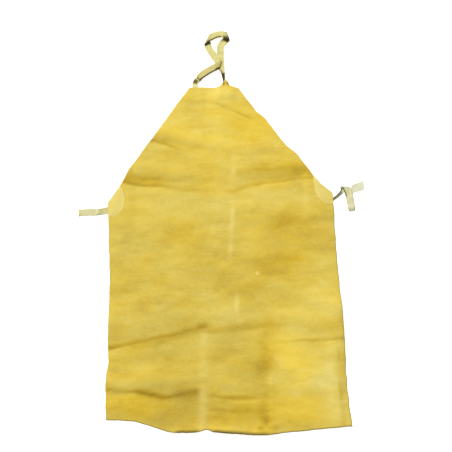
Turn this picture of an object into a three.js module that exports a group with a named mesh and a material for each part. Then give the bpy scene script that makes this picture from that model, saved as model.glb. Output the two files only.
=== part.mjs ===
// Split leather work apron lying open on a flat surface, front face up.
//
// Millimetres. +Z is up, +Y runs from the hem to the bib, +X is to the right
// seen from above. The origin is the middle of the plan box, on the surface.
//
// One panel of split leather, two corner patches on its waist corners, a neck
// strap of cotton tape and two waist ties of the same tape. The tapes are sewn
// to the back of the panel, so their ends lie between it and the surface.
import * as THREE from 'three';

// ---------------------------------------------------------------- sizes
const LEATHER = 1.6;        // thickness of the split leather
const PATCH = 1.3;          // thickness of a corner patch
const TAPE = 1.0;           // thickness of the cotton tape
const STRAP_WIDTH = 20;     // neck strap tape
const TIE_WIDTH = 20;       // waist tie tape
const TUCK_RADIUS = 0.75;   // bend where a tape is doubled lengthwise
const GAP = 0.35;           // air between pieces that lie on each other
const FLOOR_BITE = 1.2;     // depth of undulation that the surface presses flat
const FLOOR_EASE = 0.8;     // how softly the leather leaves the surface
const CREASE_SOFT = 3;      // radius of the bottom of a crease
const BULGE_REACH = 3.2;    // a bulge dies out at this many crest distances

const PANEL_COLUMNS = 23;   // cells across the panel
const PANEL_CELL = 16;      // length of a cell along the panel

const CENTRE_X = 0.269;     // middle of the plan box in the tables' own frame
const CENTRE_Y = 0.947;

const COLOUR = { leather: 0xdcc052, patch: 0xe9d782, strap: 0xded391, tie: 0xe6e2bd };

// ---------------------------------------------------------------- tables
// Plan outline of the panel: one row per cross section, from hem to bib top.
// left and right ends of the section.
const SECTIONS = [
  { name: 'hem',        lx: -283, ly: -511, rx: 321, ry: -525 },
  { name: 'hem_edge',   lx: -285, ly: -468, rx: 316, ry: -475 },
  { name: 'low_fold',   lx: -288, ly: -427, rx: 313, ry: -432 },
  { name: 'low',        lx: -282, ly: -371, rx: 311, ry: -374 },
  { name: 'knee_fold',  lx: -287, ly: -312, rx: 311, ry: -314 },
  { name: 'thigh',      lx: -286, ly: -221, rx: 307, ry: -221 },
  { name: 'hip',        lx: -291, ly: -117, rx: 301, ry: -117 },
  { name: 'lap',        lx: -298, ly: -20,  rx: 298, ry: -9 },
  { name: 'waist',      lx: -302, ly: 43,   rx: 296, ry: 70 },
  { name: 'arm_low',    lx: -273, ly: 87,   rx: 266, ry: 95 },
  { name: 'arm_fold',   lx: -249, ly: 135,  rx: 240, ry: 128 },
  { name: 'arm_mid',    lx: -211, ly: 197,  rx: 205, ry: 178 },
  { name: 'arm_notch',  lx: -186, ly: 230,  rx: 175, ry: 205 },
  { name: 'arm_high',   lx: -140, ly: 302,  rx: 119, ry: 286 },
  { name: 'bib_low',    lx: -126, ly: 324,  rx: 96,  ry: 305 },
  { name: 'bib_top',    lx: -88,  ly: 375,  rx: 46,  ry: 375 },
];
const WAIST = SECTIONS.findIndex((s) => s.name === 'waist');

// How far the hand-cut hem hangs below the straight line between its corners.
const HEM = [
  { at: 0.000, drop: 0 }, { at: 0.091, drop: 0.5 }, { at: 0.152, drop: 6.5 }, { at: 0.207, drop: 16 },
  { at: 0.287, drop: 25.5 }, { at: 0.371, drop: 23.5 }, { at: 0.412, drop: 17 }, { at: 0.440, drop: 21 },
  { at: 0.545, drop: 24.5 }, { at: 0.626, drop: 26.5 }, { at: 0.666, drop: 24 }, { at: 0.836, drop: 11.5 },
  { at: 0.950, drop: 3 }, { at: 1.000, drop: 0 },
];

// How far the bib's top edge stands above the line between its corners: the
// pointed tip is where the right end of the strap is sewn in.
const BIB_TOP = [
  { at: 0.00, rise: 0 }, { at: 0.18, rise: 0.9 }, { at: 0.40, rise: 0.9 }, { at: 0.57, rise: 2.6 },
  { at: 0.64, rise: 8 }, { at: 0.69, rise: 19 }, { at: 0.735, rise: 25 }, { at: 0.775, rise: 19 },
  { at: 0.815, rise: 8 }, { at: 0.89, rise: 3.6 }, { at: 1.00, rise: 0 },
];

// Creases across the panel, one row each: the crease passes through three
// points. On its bib side the leather bulges to a crest, back mm away; on its
// hem side it rises again, fore mm away. fade is the length of its two ends.
const CREASES = [
  { name: 'bib_top',     x0: -104, y0: 333,  x1: -32, y1: 326,  x2: 70,  y2: 287,  back: 18, crest: 2.6, fore: 12, rise: 1.4, fade: 40 },
  { name: 'bib_soft',    x0: -170, y0: 254,  x1: -70, y1: 243,  x2: 60,  y2: 232,  back: 34, crest: 3.2, fore: 26, rise: 1.6, fade: 90 },
  { name: 'bib_low',     x0: -205, y0: 228,  x1: -100, y1: 196, x2: 160, y2: 177,  back: 26, crest: 5.4, fore: 20, rise: 2.6, fade: 90 },
  { name: 'waist_left',  x0: -285, y0: 106,  x1: -138, y1: 93,  x2: -20, y2: 78,   back: 27, crest: 7.0, fore: 22, rise: 4.4, fade: 60 },
  { name: 'waist_right', x0: 24,   y0: 88,   x1: 130, y1: 104,  x2: 262, y2: 106,  back: 44, crest: 11.0, fore: 18, rise: 4.6, fade: 84 },
  { name: 'lap_short',   x0: 20,   y0: 3,    x1: 55,  y1: 9,    x2: 92,  y2: 12,   back: 15, crest: 2.8, fore: 12, rise: 1.2, fade: 30 },
  { name: 'lap_soft',    x0: 50,   y0: -26,  x1: 140, y1: -28,  x2: 292, y2: -20,  back: 34, crest: 4.6, fore: 30, rise: 1.4, fade: 110 },
  { name: 'hip_soft',    x0: 90,   y0: -118, x1: 150, y1: -116, x2: 215, y2: -112, back: 28, crest: 3.0, fore: 26, rise: 1.0, fade: 80 },
  { name: 'knee_left',   x0: -292, y0: -334, x1: -160, y1: -308, x2: -50, y2: -291, back: 56, crest: 9.5, fore: 22, rise: 4.0, fade: 44 },
  { name: 'knee_mid',    x0: -26,  y0: -292, x1: 60,  y1: -286, x2: 150, y2: -278, back: 46, crest: 8.0, fore: 22, rise: 3.0, fade: 60 },
  { name: 'knee_right',  x0: 165,  y0: -322, x1: 240, y1: -319, x2: 318, y2: -317, back: 62, crest: 7.6, fore: 22, rise: 2.6, fade: 70 },
  { name: 'low_left',    x0: -292, y0: -449, x1: -170, y1: -448, x2: -58, y2: -440, back: 27, crest: 9.5, fore: 20, rise: 4.6, fade: 40 },
  { name: 'low_mid',     x0: -26,  y0: -452, x1: 40,  y1: -453, x2: 118, y2: -461, back: 25, crest: 5.6, fore: 18, rise: 3.0, fade: 50 },
  { name: 'hem_mid',     x0: -30,  y0: -489, x1: 40,  y1: -488, x2: 116, y2: -486, back: 18, crest: 3.4, fore: 16, rise: 2.0, fade: 44 },
];

// Ridges down the panel: the ridge line passes through three points, with its
// own width to each side.
const RIDGES = [
  { name: 'pinch',  x0: -40, y0: -290, x1: -38, y1: -415, x2: -34, y2: -548, height: 4.4, left: 14, right: 15, fade: 26 },
  { name: 'step',   x0: 126, y0: -372, x1: 127, y1: -455, x2: 126, y2: -556, height: 4.2, left: 12, right: 62, fade: 36 },
  { name: 'roll',   x0: 302, y0: -215, x1: 297, y1: -330, x2: 292, y2: -540, height: 5.2, left: 58, right: 27, fade: 48 },
];

// Stretches of the hem that stand off the surface.
const HEM_LIFTS = [
  { from: -120, to: -42, lift: 6.5, reach: 46 },
  { from: -26,  to: 122, lift: 8.5, reach: 44 },
];

// Plateaus of the leather over the sewn tape ends: middle, half sizes, height.
const SEATS = [
  { name: 'strap_left',  x: -74, y: 362,  hx: 14, hy: 24, height: 1.75 },
  { name: 'strap_right', x: 11,  y: 384,  hx: 13, hy: 30, height: 3.3 },
  { name: 'tie_left',    x: -284, y: 42,  hx: 36, hy: 54, height: 1.75 },
  { name: 'tie_right',   x: 276, y: 70,   hx: 40, hy: 56, height: 3.1 },
];
const SEAT_EASE = 24;       // width of a plateau's slope

// Quiet places where the folds die out: the sewn corners and the strap ends.
const QUIET = [
  { x: -282, y: 44, radius: 92 }, { x: 274, y: 74, radius: 92 },
  { x: -74, y: 378, radius: 42 }, { x: 10, y: 384, radius: 40 },
];

// Corner patches: the seam is a cubic from the slanting edge to the side edge.
const PATCHES = [
  { name: 'corner_patch_left',  side: 'l', x0: -274, y0: 86, ax: -246, ay: 60, bx: -256, by: 2, x1: -300, y1: 2 },
  { name: 'corner_patch_right', side: 'r', x0: 249, y0: 116, ax: 243, ay: 78, bx: 252, by: 38, x1: 297, y1: 37 },
];
const PATCH_INSET = 0.6;    // patch edge inside the panel edge

// Tapes, one row per stretch from the sewn end: its run, the turn made on the
// flat, then at its end the tuck (one half turned over the other, minus for
// towards the tape's back), the gather (share of the width left) and the rise,
// and last the fold that ends it: how far it turns the tape seen from above,
// over (1) or under (-1), and its radius. cut is the slope of the cut end.
const NECK_STRAP = {
  x: -73.5, y: 347, heading: 90, width: STRAP_WIDTH, tuckSide: 1, cut: 0,
  stretches: [
    { name: 'sewn_left',   run: 37,   turn: 0,   tuck: 0,    gather: 0.86, rise: 0,    fold: 0,    way: 0,  radius: 0 },
    { name: 'lean',        run: 14,   turn: -38, tuck: 0,    gather: 0.84, rise: 0,    fold: 0,    way: 0,  radius: 0 },
    { name: 'under_pleat', run: 15,   turn: 0,   tuck: 0,    gather: 0.8,  rise: 0,    fold: 180,  way: 1,  radius: 1.4 },
    { name: 'pleat',       run: 11,   turn: 0,   tuck: 0,    gather: 0.8,  rise: 0,    fold: 180,  way: 1,  radius: 1.4 },
    { name: 'lead',        run: 20,   turn: -14, tuck: 0,    gather: 1,    rise: 0,    fold: 0,    way: 0,  radius: 0 },
    { name: 'arc',         run: 44,   turn: -10, tuck: 0,    gather: 1,    rise: -1.5, fold: 0,    way: 0,  radius: 0 },
    { name: 'arc_end',     run: 11,   turn: 0,   tuck: 0,    gather: 1,    rise: 0,    fold: 95,   way: -1, radius: 1.4 },
    { name: 'rise_left',   run: 57,   turn: 0,   tuck: 0,    gather: 1,    rise: 0,    fold: 0,    way: 0,  radius: 0 },
    { name: 'rise_turn',   run: 14,   turn: -16, tuck: 0,    gather: 1,    rise: 0,    fold: 0,    way: 0,  radius: 0 },
    { name: 'rise_top',    run: 14,   turn: 0,   tuck: 0,    gather: 1,    rise: 0,    fold: -80,  way: 1,  radius: 2.5 },
    { name: 'top_left',    run: 31,   turn: 0,   tuck: 0,    gather: 1,    rise: 0.5,  fold: 0,    way: 0,  radius: 0 },
    { name: 'top_mid',     run: 31,   turn: -42, tuck: 0,    gather: 1,    rise: 0.4,  fold: 0,    way: 0,  radius: 0 },
    { name: 'top_end',     run: 7,    turn: 0,   tuck: 0,    gather: 1,    rise: 0,    fold: -118, way: -1, radius: 3.6 },
    { name: 'under_top',   run: 35,   turn: 0,   tuck: 0,    gather: 1,    rise: 0,    fold: 0,    way: 0,  radius: 0 },
    { name: 'bend',        run: 17,   turn: 44,  tuck: 0,    gather: 1,    rise: 0,    fold: 0,    way: 0,  radius: 0 },
    { name: 'right',       run: 62,   turn: 3,   tuck: 0,    gather: 1,    rise: 0,    fold: 0,    way: 0,  radius: 0 },
    { name: 'narrow',      run: 14,   turn: 4,   tuck: -90,  gather: 0.9,  rise: 0,    fold: 0,    way: 0,  radius: 0 },
    { name: 'leg',         run: 13,   turn: 4,   tuck: -174, gather: 0.72, rise: 0,    fold: 0,    way: 0,  radius: 0 },
    { name: 'into_tip',    run: 16,   turn: -4,  tuck: -178, gather: 0.7,  rise: 0,    fold: 0,    way: 0,  radius: 0 },
    { name: 'sewn_right',  run: 32,   turn: 0,   tuck: -178, gather: 0.7,  rise: 0,    fold: 0,    way: 0,  radius: 0 },
  ],
};
const WAIST_TIE_LEFT = {
  x: -262, y: 28, heading: 188, width: TIE_WIDTH, tuckSide: 0, cut: 0,
  stretches: [
    { name: 'sewn',  run: 34, turn: 0,  tuck: 0, gather: 1,    rise: 0,    fold: 0, way: 0, radius: 0 },
    { name: 'out',   run: 18, turn: 6,  tuck: 0, gather: 0.92, rise: 0.4,  fold: 0, way: 0, radius: 0 },
    { name: 'wave',  run: 10, turn: -6, tuck: 0, gather: 0.82, rise: 2.2,  fold: 0, way: 0, radius: 0 },
    { name: 'lie',   run: 12, turn: -9, tuck: 0, gather: 0.96, rise: -2.6, fold: 0, way: 0, radius: 0 },
    { name: 'end',   run: 44, turn: 9,  tuck: 0, gather: 0.94, rise: 0,    fold: 0, way: 0, radius: 0 },
  ],
};
const WAIST_TIE_RIGHT = {
  x: 270.2, y: 32, heading: 41, width: TIE_WIDTH, tuckSide: 1, cut: -0.45,
  stretches: [
    { name: 'sewn',        run: 36,   turn: 0,   tuck: 178,  gather: 0.62, rise: 0,    fold: 0,    way: 0,  radius: 0 },
    { name: 'open',        run: 14,   turn: 2,   tuck: 112,  gather: 0.74, rise: 0,    fold: 0,    way: 0,  radius: 0 },
    { name: 'stand',       run: 14,   turn: 1,   tuck: 88,   gather: 0.84, rise: 0,    fold: 0,    way: 0,  radius: 0 },
    { name: 'spread',      run: 8,    turn: 10,  tuck: 14,   gather: 0.78, rise: 0,    fold: 0,    way: 0,  radius: 0 },
    { name: 'top',         run: 5.5,  turn: 0,   tuck: 0,    gather: 0.78, rise: 0,    fold: -119, way: 1,  radius: 2.6 },
    { name: 'flap_top',    run: 16,   turn: 0,   tuck: 0,    gather: 0.94, rise: 0,    fold: 0,    way: 0,  radius: 0 },
    { name: 'flap_mid',    run: 18,   turn: -16, tuck: 0,    gather: 1,    rise: 0,    fold: 0,    way: 0,  radius: 0 },
    { name: 'flap',        run: 26,   turn: 0,   tuck: 0,    gather: 1,    rise: -2,   fold: 0,    way: 0,  radius: 0 },
    { name: 'flap_end',    run: 14,   turn: 0,   tuck: 0,    gather: 0.66, rise: 0,    fold: 178,  way: -1, radius: 1.6 },
    { name: 'return',      run: 14,   turn: 0,   tuck: 0,    gather: 1,    rise: 0,    fold: 0,    way: 0,  radius: 0 },
    { name: 'back',        run: 43.5, turn: 0,   tuck: 0,    gather: 1,    rise: 0,    fold: -78,  way: 1,  radius: 1.3 },
    { name: 'end',         run: 48,   turn: 2,   tuck: 0,    gather: 1.16, rise: -2.6, fold: 0,    way: 0,  radius: 0 },
  ],
};

// ---------------------------------------------------------------- helpers
const clamp = (v, lo, hi) => Math.min(hi, Math.max(lo, v));
const mix = (a, b, t) => a + (b - a) * t;
const smooth = (t) => { const c = clamp(t, 0, 1); return c * c * (3 - 2 * c); };
const rad = THREE.MathUtils.degToRad;

// Smooth curve through table rows: monotone cubic between neighbouring rows.
function through(rows, key, value, at) {
  const n = rows.length;
  let i = 0;
  while (i < n - 2 && at > rows[i + 1][key]) i += 1;
  const slope = (j) => (rows[j + 1][value] - rows[j][value]) / (rows[j + 1][key] - rows[j][key]);
  const tangent = (j) => {
    if (j === 0) return slope(0);
    if (j === n - 1) return slope(n - 2);
    const a = slope(j - 1), b = slope(j);
    return a * b <= 0 ? 0 : (2 * a * b) / (a + b);
  };
  const h = rows[i + 1][key] - rows[i][key];
  const t = clamp((at - rows[i][key]) / h, 0, 1);
  const t2 = t * t, t3 = t2 * t;
  return rows[i][value] * (2 * t3 - 3 * t2 + 1) + rows[i + 1][value] * (3 * t2 - 2 * t3)
    + h * tangent(i) * (t3 - 2 * t2 + t) + h * tangent(i + 1) * (t3 - t2);
}

// Parabola through the three points of a fold row, a across b.
function parabola(a, p0, q0, p1, q1, p2, q2) {
  return q0 * ((a - p1) * (a - p2)) / ((p0 - p1) * (p0 - p2))
    + q1 * ((a - p0) * (a - p2)) / ((p1 - p0) * (p1 - p2))
    + q2 * ((a - p0) * (a - p1)) / ((p2 - p0) * (p2 - p1));
}

const bulge = (t) => {
  if (t <= 0 || t >= BULGE_REACH) return 0;
  if (t < 1) return 1 - (1 - t) ** 2;
  return 0.5 * (1 + Math.cos(Math.PI * (t - 1) / (BULGE_REACH - 1)));
};
const window1 = (a, lo, hi, fade) => smooth((a - lo + fade * 0.5) / fade) * smooth((hi + fade * 0.5 - a) / fade);

// ---------------------------------------------------------------- the panel's plan
// u runs across from the left edge, v along the sections from hem to bib top.
function edgePoint(side, v) {
  const i = clamp(Math.floor(v), 0, SECTIONS.length - 2);
  const t = v - i;
  const a = SECTIONS[i], b = SECTIONS[i + 1];
  return side === 'l' ? [mix(a.lx, b.lx, t), mix(a.ly, b.ly, t)] : [mix(a.rx, b.rx, t), mix(a.ry, b.ry, t)];
}
const V_TOP = SECTIONS.length - 1;
const HEM_SPAN = 3;         // sections over which the hem's shape dies out

function planPoint(u, v) {
  const [lx, ly] = edgePoint('l', v);
  const [rx, ry] = edgePoint('r', v);
  const hem = Math.max(0, 1 - v / HEM_SPAN) * through(HEM, 'at', 'drop', u);
  const top = Math.max(0, v - (V_TOP - 1)) * through(BIB_TOP, 'at', 'rise', u);
  return [mix(lx, rx, u), mix(ly, ry, u) - hem + top];
}
function hemY(x) {
  const h = SECTIONS[0];
  const u = clamp((x - h.lx) / (h.rx - h.lx), 0, 1);
  return mix(h.ly, h.ry, u) - through(HEM, 'at', 'drop', u);
}
// The panel's edge at a given distance along Y, between the hem and the bib.
function edgeX(side, y) {
  for (let i = 0; i < V_TOP; i += 1) {
    const a = edgePoint(side, i), b = edgePoint(side, i + 1);
    if (y <= b[1]) return mix(a[0], b[0], (y - a[1]) / (b[1] - a[1]));
  }
  return edgePoint(side, V_TOP)[0];
}

// ---------------------------------------------------------------- the panel's folds
// Height of the leather's underside above the surface.
function underside(x, y) {
  let h = 1.3 * Math.sin(x / 118 + 0.6) * Math.cos(y / 134 - 0.4) + 0.9 * Math.sin(x / 61 - y / 83);
  for (const c of CREASES) {
    const along = window1(x, c.x0, c.x2, c.fade);
    if (along <= 0) continue;
    const xc = clamp(x, c.x0, c.x2);
    const line = parabola(xc, c.x0, c.y0, c.x1, c.y1, c.x2, c.y2);
    const d = y - line;
    const soft = Math.sqrt(d * d + CREASE_SOFT ** 2) - CREASE_SOFT;
    h += along * (d > 0 ? c.crest * bulge(soft / c.back) : c.rise * bulge(soft / c.fore));
  }
  for (const r of RIDGES) {
    const along = window1(y, r.y2, r.y0, r.fade);
    if (along <= 0) continue;
    const line = parabola(clamp(y, r.y2, r.y0), r.y0, r.x0, r.y1, r.x1, r.y2, r.x2);
    const d = x - line;
    const t = Math.abs(d) / (d < 0 ? r.left : r.right);
    if (t < 1) h += along * r.height * (0.5 * (1 + Math.cos(Math.PI * t)));
  }
  let quiet = 1;
  for (const q of QUIET) quiet *= smooth(Math.hypot(x - q.x, y - q.y) / q.radius - 0.25);
  h = h * quiet - FLOOR_BITE;
  // the surface presses the low places flat
  if (h <= 0) h = 0;
  else if (h < 2 * FLOOR_EASE) h = (h * h) / (4 * FLOOR_EASE);
  else h -= FLOOR_EASE;
  for (const l of HEM_LIFTS) {
    const d = clamp((y - hemY(x)) / l.reach, 0, 1);
    h += l.lift * (1 - d) ** 2 * window1(x, l.from, l.to, 34);
  }
  let seat = 0;
  for (const s of SEATS) {
    const dx = smooth(1 - (Math.abs(x - s.x) - s.hx) / SEAT_EASE);
    const dy = smooth(1 - (Math.abs(y - s.y) - s.hy) / SEAT_EASE);
    seat = Math.max(seat, s.height * dx * dy);
  }
  return Math.max(h, seat) + 0.25 * Math.min(h, seat);
}

// A point off the underside along its normal.
function offLeather(x, y, off) {
  const e = 0.5;
  const z = underside(x, y);
  const nx = -(underside(x + e, y) - underside(x - e, y)) / (2 * e);
  const ny = -(underside(x, y + e) - underside(x, y - e)) / (2 * e);
  const n = Math.hypot(nx, ny, 1);
  return [x + off * nx / n, y + off * ny / n, z + off / n];
}

// ---------------------------------------------------------------- meshes
// Closed sheet from two matching grids of points, low and high, and its rim.
function sheetGeometry(low, high) {
  const rows = low.length, cols = low[0].length;
  const position = [];
  for (const grid of [low, high]) for (const row of grid) for (const p of row) position.push(...p);
  const at = (layer, i, j) => layer * rows * cols + i * cols + j;
  const index = [];
  const quad = (a, b, c, d) => index.push(a, b, c, a, c, d);
  for (let i = 0; i < rows - 1; i += 1) {
    for (let j = 0; j < cols - 1; j += 1) {
      quad(at(0, i, j), at(0, i + 1, j), at(0, i + 1, j + 1), at(0, i, j + 1));
      quad(at(1, i, j), at(1, i, j + 1), at(1, i + 1, j + 1), at(1, i + 1, j));
    }
  }
  for (let j = 0; j < cols - 1; j += 1) {
    quad(at(0, 0, j), at(0, 0, j + 1), at(1, 0, j + 1), at(1, 0, j));
    quad(at(0, rows - 1, j + 1), at(0, rows - 1, j), at(1, rows - 1, j), at(1, rows - 1, j + 1));
  }
  for (let i = 0; i < rows - 1; i += 1) {
    quad(at(0, i + 1, 0), at(0, i, 0), at(1, i, 0), at(1, i + 1, 0));
    quad(at(0, i, cols - 1), at(0, i + 1, cols - 1), at(1, i + 1, cols - 1), at(1, i, cols - 1));
  }
  const g = new THREE.BufferGeometry();
  g.setAttribute('position', new THREE.Float32BufferAttribute(position, 3));
  g.setIndex(index);
  g.computeVertexNormals();
  return g;
}

function panelGeometry() {
  const low = [], high = [];
  const rows = [0];
  for (let i = 0; i < V_TOP; i += 1) {
    const n = Math.ceil((SECTIONS[i + 1].ly - SECTIONS[i].ly) / PANEL_CELL);
    for (let k = 1; k <= n; k += 1) rows.push(i + k / n);
  }
  for (const v of rows) {
    const a = [], b = [];
    for (let j = 0; j <= PANEL_COLUMNS; j += 1) {
      const [x, y] = planPoint(j / PANEL_COLUMNS, v);
      a.push([x, y, underside(x, y)]);
      b.push(offLeather(x, y, LEATHER));
    }
    low.push(a);
    high.push(b);
  }
  return sheetGeometry(low, high);
}

function patchGeometry(p) {
  const ALONG = 7, IN = 4;
  const corner = p.side === 'l' ? SECTIONS[WAIST].ly : SECTIONS[WAIST].ry;
  const inward = p.side === 'l' ? 1 : -1;
  const low = [], high = [];
  for (let i = 0; i <= 2 * ALONG; i += 1) {
    const y = i <= ALONG ? mix(p.y0, corner, i / ALONG) : mix(corner, p.y1, i / ALONG - 1);
    const ox = edgeX(p.side, y) + inward * PATCH_INSET;
    const t = i / (2 * ALONG), s = 1 - t;
    const sx = p.x0 * s ** 3 + 3 * p.ax * t * s * s + 3 * p.bx * t * t * s + p.x1 * t ** 3;
    const sy = p.y0 * s ** 3 + 3 * p.ay * t * s * s + 3 * p.by * t * t * s + p.y1 * t ** 3;
    // the two ends of the patch keep a short edge, so that every cell has area
    const ex = i === 0 || i === 2 * ALONG ? sx + inward * 3 : sx;
    const a = [], b = [];
    for (let j = 0; j <= IN; j += 1) {
      const x = mix(ox, ex, j / IN), yy = mix(y, sy, j / IN);
      a.push(offLeather(x, yy, LEATHER + GAP));
      b.push(offLeather(x, yy, LEATHER + GAP + PATCH));
    }
    if (inward < 0) { a.reverse(); b.reverse(); }
    low.unshift(a);
    high.unshift(b);
  }
  return sheetGeometry(low, high);
}

// ---------------------------------------------------------------- tapes
// A tape is laid out as a flat strip (s along it, w across it) and then turned
// and folded. A fold rolls the strip over a small radius along a slanting line,
// which keeps every length and turns the strip's direction.
function layTape(t) {
  const V = (x, y, z) => new THREE.Vector3(x, y, z);
  let p = V(t.x, t.y, TAPE / 2), along = V(Math.cos(rad(t.heading)), Math.sin(rad(t.heading)), 0), up = V(0, 0, 1);
  let s = 0, lift = 0, tuck = t.stretches[0].tuck, gather = t.stretches[0].gather;
  const runs = [], folds = [];
  t.stretches.forEach((r) => {
    const hand = Math.sign(up.z);
    const across = up.clone().cross(along);
    const bend = rad(r.turn) * hand / r.run;
    runs.push({ s0: s, s1: s + r.run, p: p.clone(), along: along.clone(), across, up: up.clone(), bend, group: folds.length,
      lift0: lift, lift1: lift + r.rise, tuck0: tuck, tuck1: r.tuck, gather0: gather, gather1: r.gather });
    const q = onRun(runs[runs.length - 1], r.run);
    s += r.run; lift += r.rise; tuck = r.tuck; gather = r.gather;
    p = q.p; along = q.along;
    if (r.fold) {
      const turn = rad(r.fold) * hand;
      const skew = Math.sign(turn) * (Math.PI - Math.abs(turn)) / 2;
      const side = r.way * hand;
      const b = q.across;
      const g = along.clone().multiplyScalar(Math.cos(skew)).addScaledVector(b, -Math.sin(skew));
      const f = b.clone().multiplyScalar(Math.cos(skew)).addScaledVector(along, Math.sin(skew));
      folds.push({ s, p: p.clone(), g, f, up: up.clone(), skew, side, r: r.radius, arc: Math.PI * r.radius });
      along = g.clone().multiplyScalar(-Math.cos(skew)).addScaledVector(f, Math.sin(skew));
      p = p.clone().addScaledVector(g, Math.PI * r.radius).addScaledVector(up, side * 2 * r.radius);
      up = up.clone().negate();
    }
  });
  return { runs, folds, length: s, width: t.width, side: t.tuckSide };
}
function onRun(r, ds) {
  const a = r.bend * ds;
  const k = Math.abs(r.bend) < 1e-9 ? ds : Math.sin(a) / r.bend;
  const m = Math.abs(r.bend) < 1e-9 ? 0 : (1 - Math.cos(a)) / r.bend;
  return {
    p: r.p.clone().addScaledVector(r.along, k).addScaledVector(r.across, m),
    along: r.along.clone().multiplyScalar(Math.cos(a)).addScaledVector(r.across, Math.sin(a)),
    across: r.across.clone().multiplyScalar(Math.cos(a)).addScaledVector(r.along, -Math.sin(a)),
  };
}
function tapePoint(lay, s, wFlat, off) {
  const here = lay.runs.find((r) => s <= r.s1) ?? lay.runs[lay.runs.length - 1];
  const w = wFlat * mix(here.gather0, here.gather1, smooth((s - here.s0) / (here.s1 - here.s0)));
  let last = -1;
  lay.folds.forEach((f, i) => { if ((s - f.s) * Math.cos(f.skew) - w * Math.sin(f.skew) > 0) last = i; });
  const group = lay.runs.filter((r) => r.group === last + 1);
  const run = group.find((r) => s <= r.s1) ?? group[group.length - 1];
  const f = smooth((s - run.s0) / (run.s1 - run.s0));
  const fold = lay.folds[last];
  // a stretch that starts at a fold begins to rise past the fold's slanting line
  const begin = fold && run.s0 === fold.s ? w * Math.tan(fold.skew) + fold.arc / Math.cos(fold.skew) : 0;
  const lift = mix(run.lift0, run.lift1, smooth((s - run.s0 - begin) / (run.s1 - run.s0 - begin)));
  let out;
  const u = fold ? (s - fold.s) * Math.cos(fold.skew) - w * Math.sin(fold.skew) : 0;
  if (fold && u < fold.arc) {
    const v = (s - fold.s) * Math.sin(fold.skew) + w * Math.cos(fold.skew);
    const a = u / fold.r;
    const reach = fold.r - fold.side * off;
    out = fold.p.clone().addScaledVector(fold.f, v).addScaledVector(fold.g, reach * Math.sin(a))
      .addScaledVector(fold.up, fold.side * (fold.r - reach * Math.cos(a)));
  } else {
    const tuck = rad(mix(run.tuck0, run.tuck1, f));
    let across = w, high = off;
    const q = w * lay.side;
    if (Math.abs(tuck) > 0.01 && q > 0) {
      const lid = Math.sign(tuck), turn = Math.abs(tuck);
      const a = Math.min(q / TUCK_RADIUS, turn);
      const rest = Math.max(0, q - TUCK_RADIUS * turn);
      across = lay.side * (TUCK_RADIUS * Math.sin(a) + rest * Math.cos(turn) - lid * off * Math.sin(a));
      high = lid * (TUCK_RADIUS * (1 - Math.cos(a)) + rest * Math.sin(turn)) + off * Math.cos(a);
    }
    const inside = clamp(s - run.s0, 0, run.s1 - run.s0);
    const c = onRun(run, inside);
    out = c.p.addScaledVector(c.along, s - run.s0 - inside).addScaledVector(c.across, across).addScaledVector(run.up, high);
  }
  return [out.x, out.y, out.z + lift];
}
// Columns across a tape, as shares of its width: close together at a tuck.
const PLAIN_COLUMNS = [0.5, 0.25, 0, -0.25, -0.5];
const TUCK_COLUMNS = [0.5, 0.12, 0.08, 0.04, 0, -0.5];
function tapeGeometry(t) {
  const STEP = 8, BEND_ROWS = 6;
  const lay = layTape(t);
  const columns = t.tuckSide === 0 ? PLAIN_COLUMNS : TUCK_COLUMNS.map((c) => c * t.tuckSide);
  if (t.tuckSide < 0) columns.reverse();
  // stations along the tape, each with the slant of its row
  const knots = [{ s: 0, slant: 0 }];
  lay.folds.forEach((f) => {
    const slant = Math.tan(f.skew);
    knots.push({ s: f.s, slant }, { s: f.s + f.arc / Math.cos(f.skew), slant, bend: true });
  });
  knots.push({ s: lay.length, slant: t.cut });
  const stations = [knots[0]];
  for (let i = 1; i < knots.length; i += 1) {
    const a = knots[i - 1], b = knots[i];
    const n = b.bend ? BEND_ROWS : Math.ceil((b.s - a.s) / STEP);
    for (let k = 1; k <= n; k += 1) stations.push({ s: mix(a.s, b.s, k / n), slant: mix(a.slant, b.slant, k / n) });
  }
  const low = [], high = [];
  for (const st of stations) {
    const a = [], b = [];
    for (const c of columns) {
      const w = c * lay.width;
      a.push(tapePoint(lay, st.s + w * st.slant, w, -TAPE / 2));
      b.push(tapePoint(lay, st.s + w * st.slant, w, TAPE / 2));
    }
    low.push(a);
    high.push(b);
  }
  return sheetGeometry(low, high);
}

// ---------------------------------------------------------------- the apron
const apron = new THREE.Group();
function add(name, geometry, color, roughness) {
  const mesh = new THREE.Mesh(geometry, new THREE.MeshStandardMaterial({ color, roughness, metalness: 0 }));
  geometry.translate(-CENTRE_X, -CENTRE_Y, 0);
  mesh.name = name;
  apron.add(mesh);
}
add('leather_panel', panelGeometry(), COLOUR.leather, 0.92);
for (const p of PATCHES) add(p.name, patchGeometry(p), COLOUR.patch, 0.92);
add('neck_strap', tapeGeometry(NECK_STRAP), COLOUR.strap, 0.85);
add('waist_tie_left', tapeGeometry(WAIST_TIE_LEFT), COLOUR.tie, 0.85);
add('waist_tie_right', tapeGeometry(WAIST_TIE_RIGHT), COLOUR.tie, 0.85);

export default apron;
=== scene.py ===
import math

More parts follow.
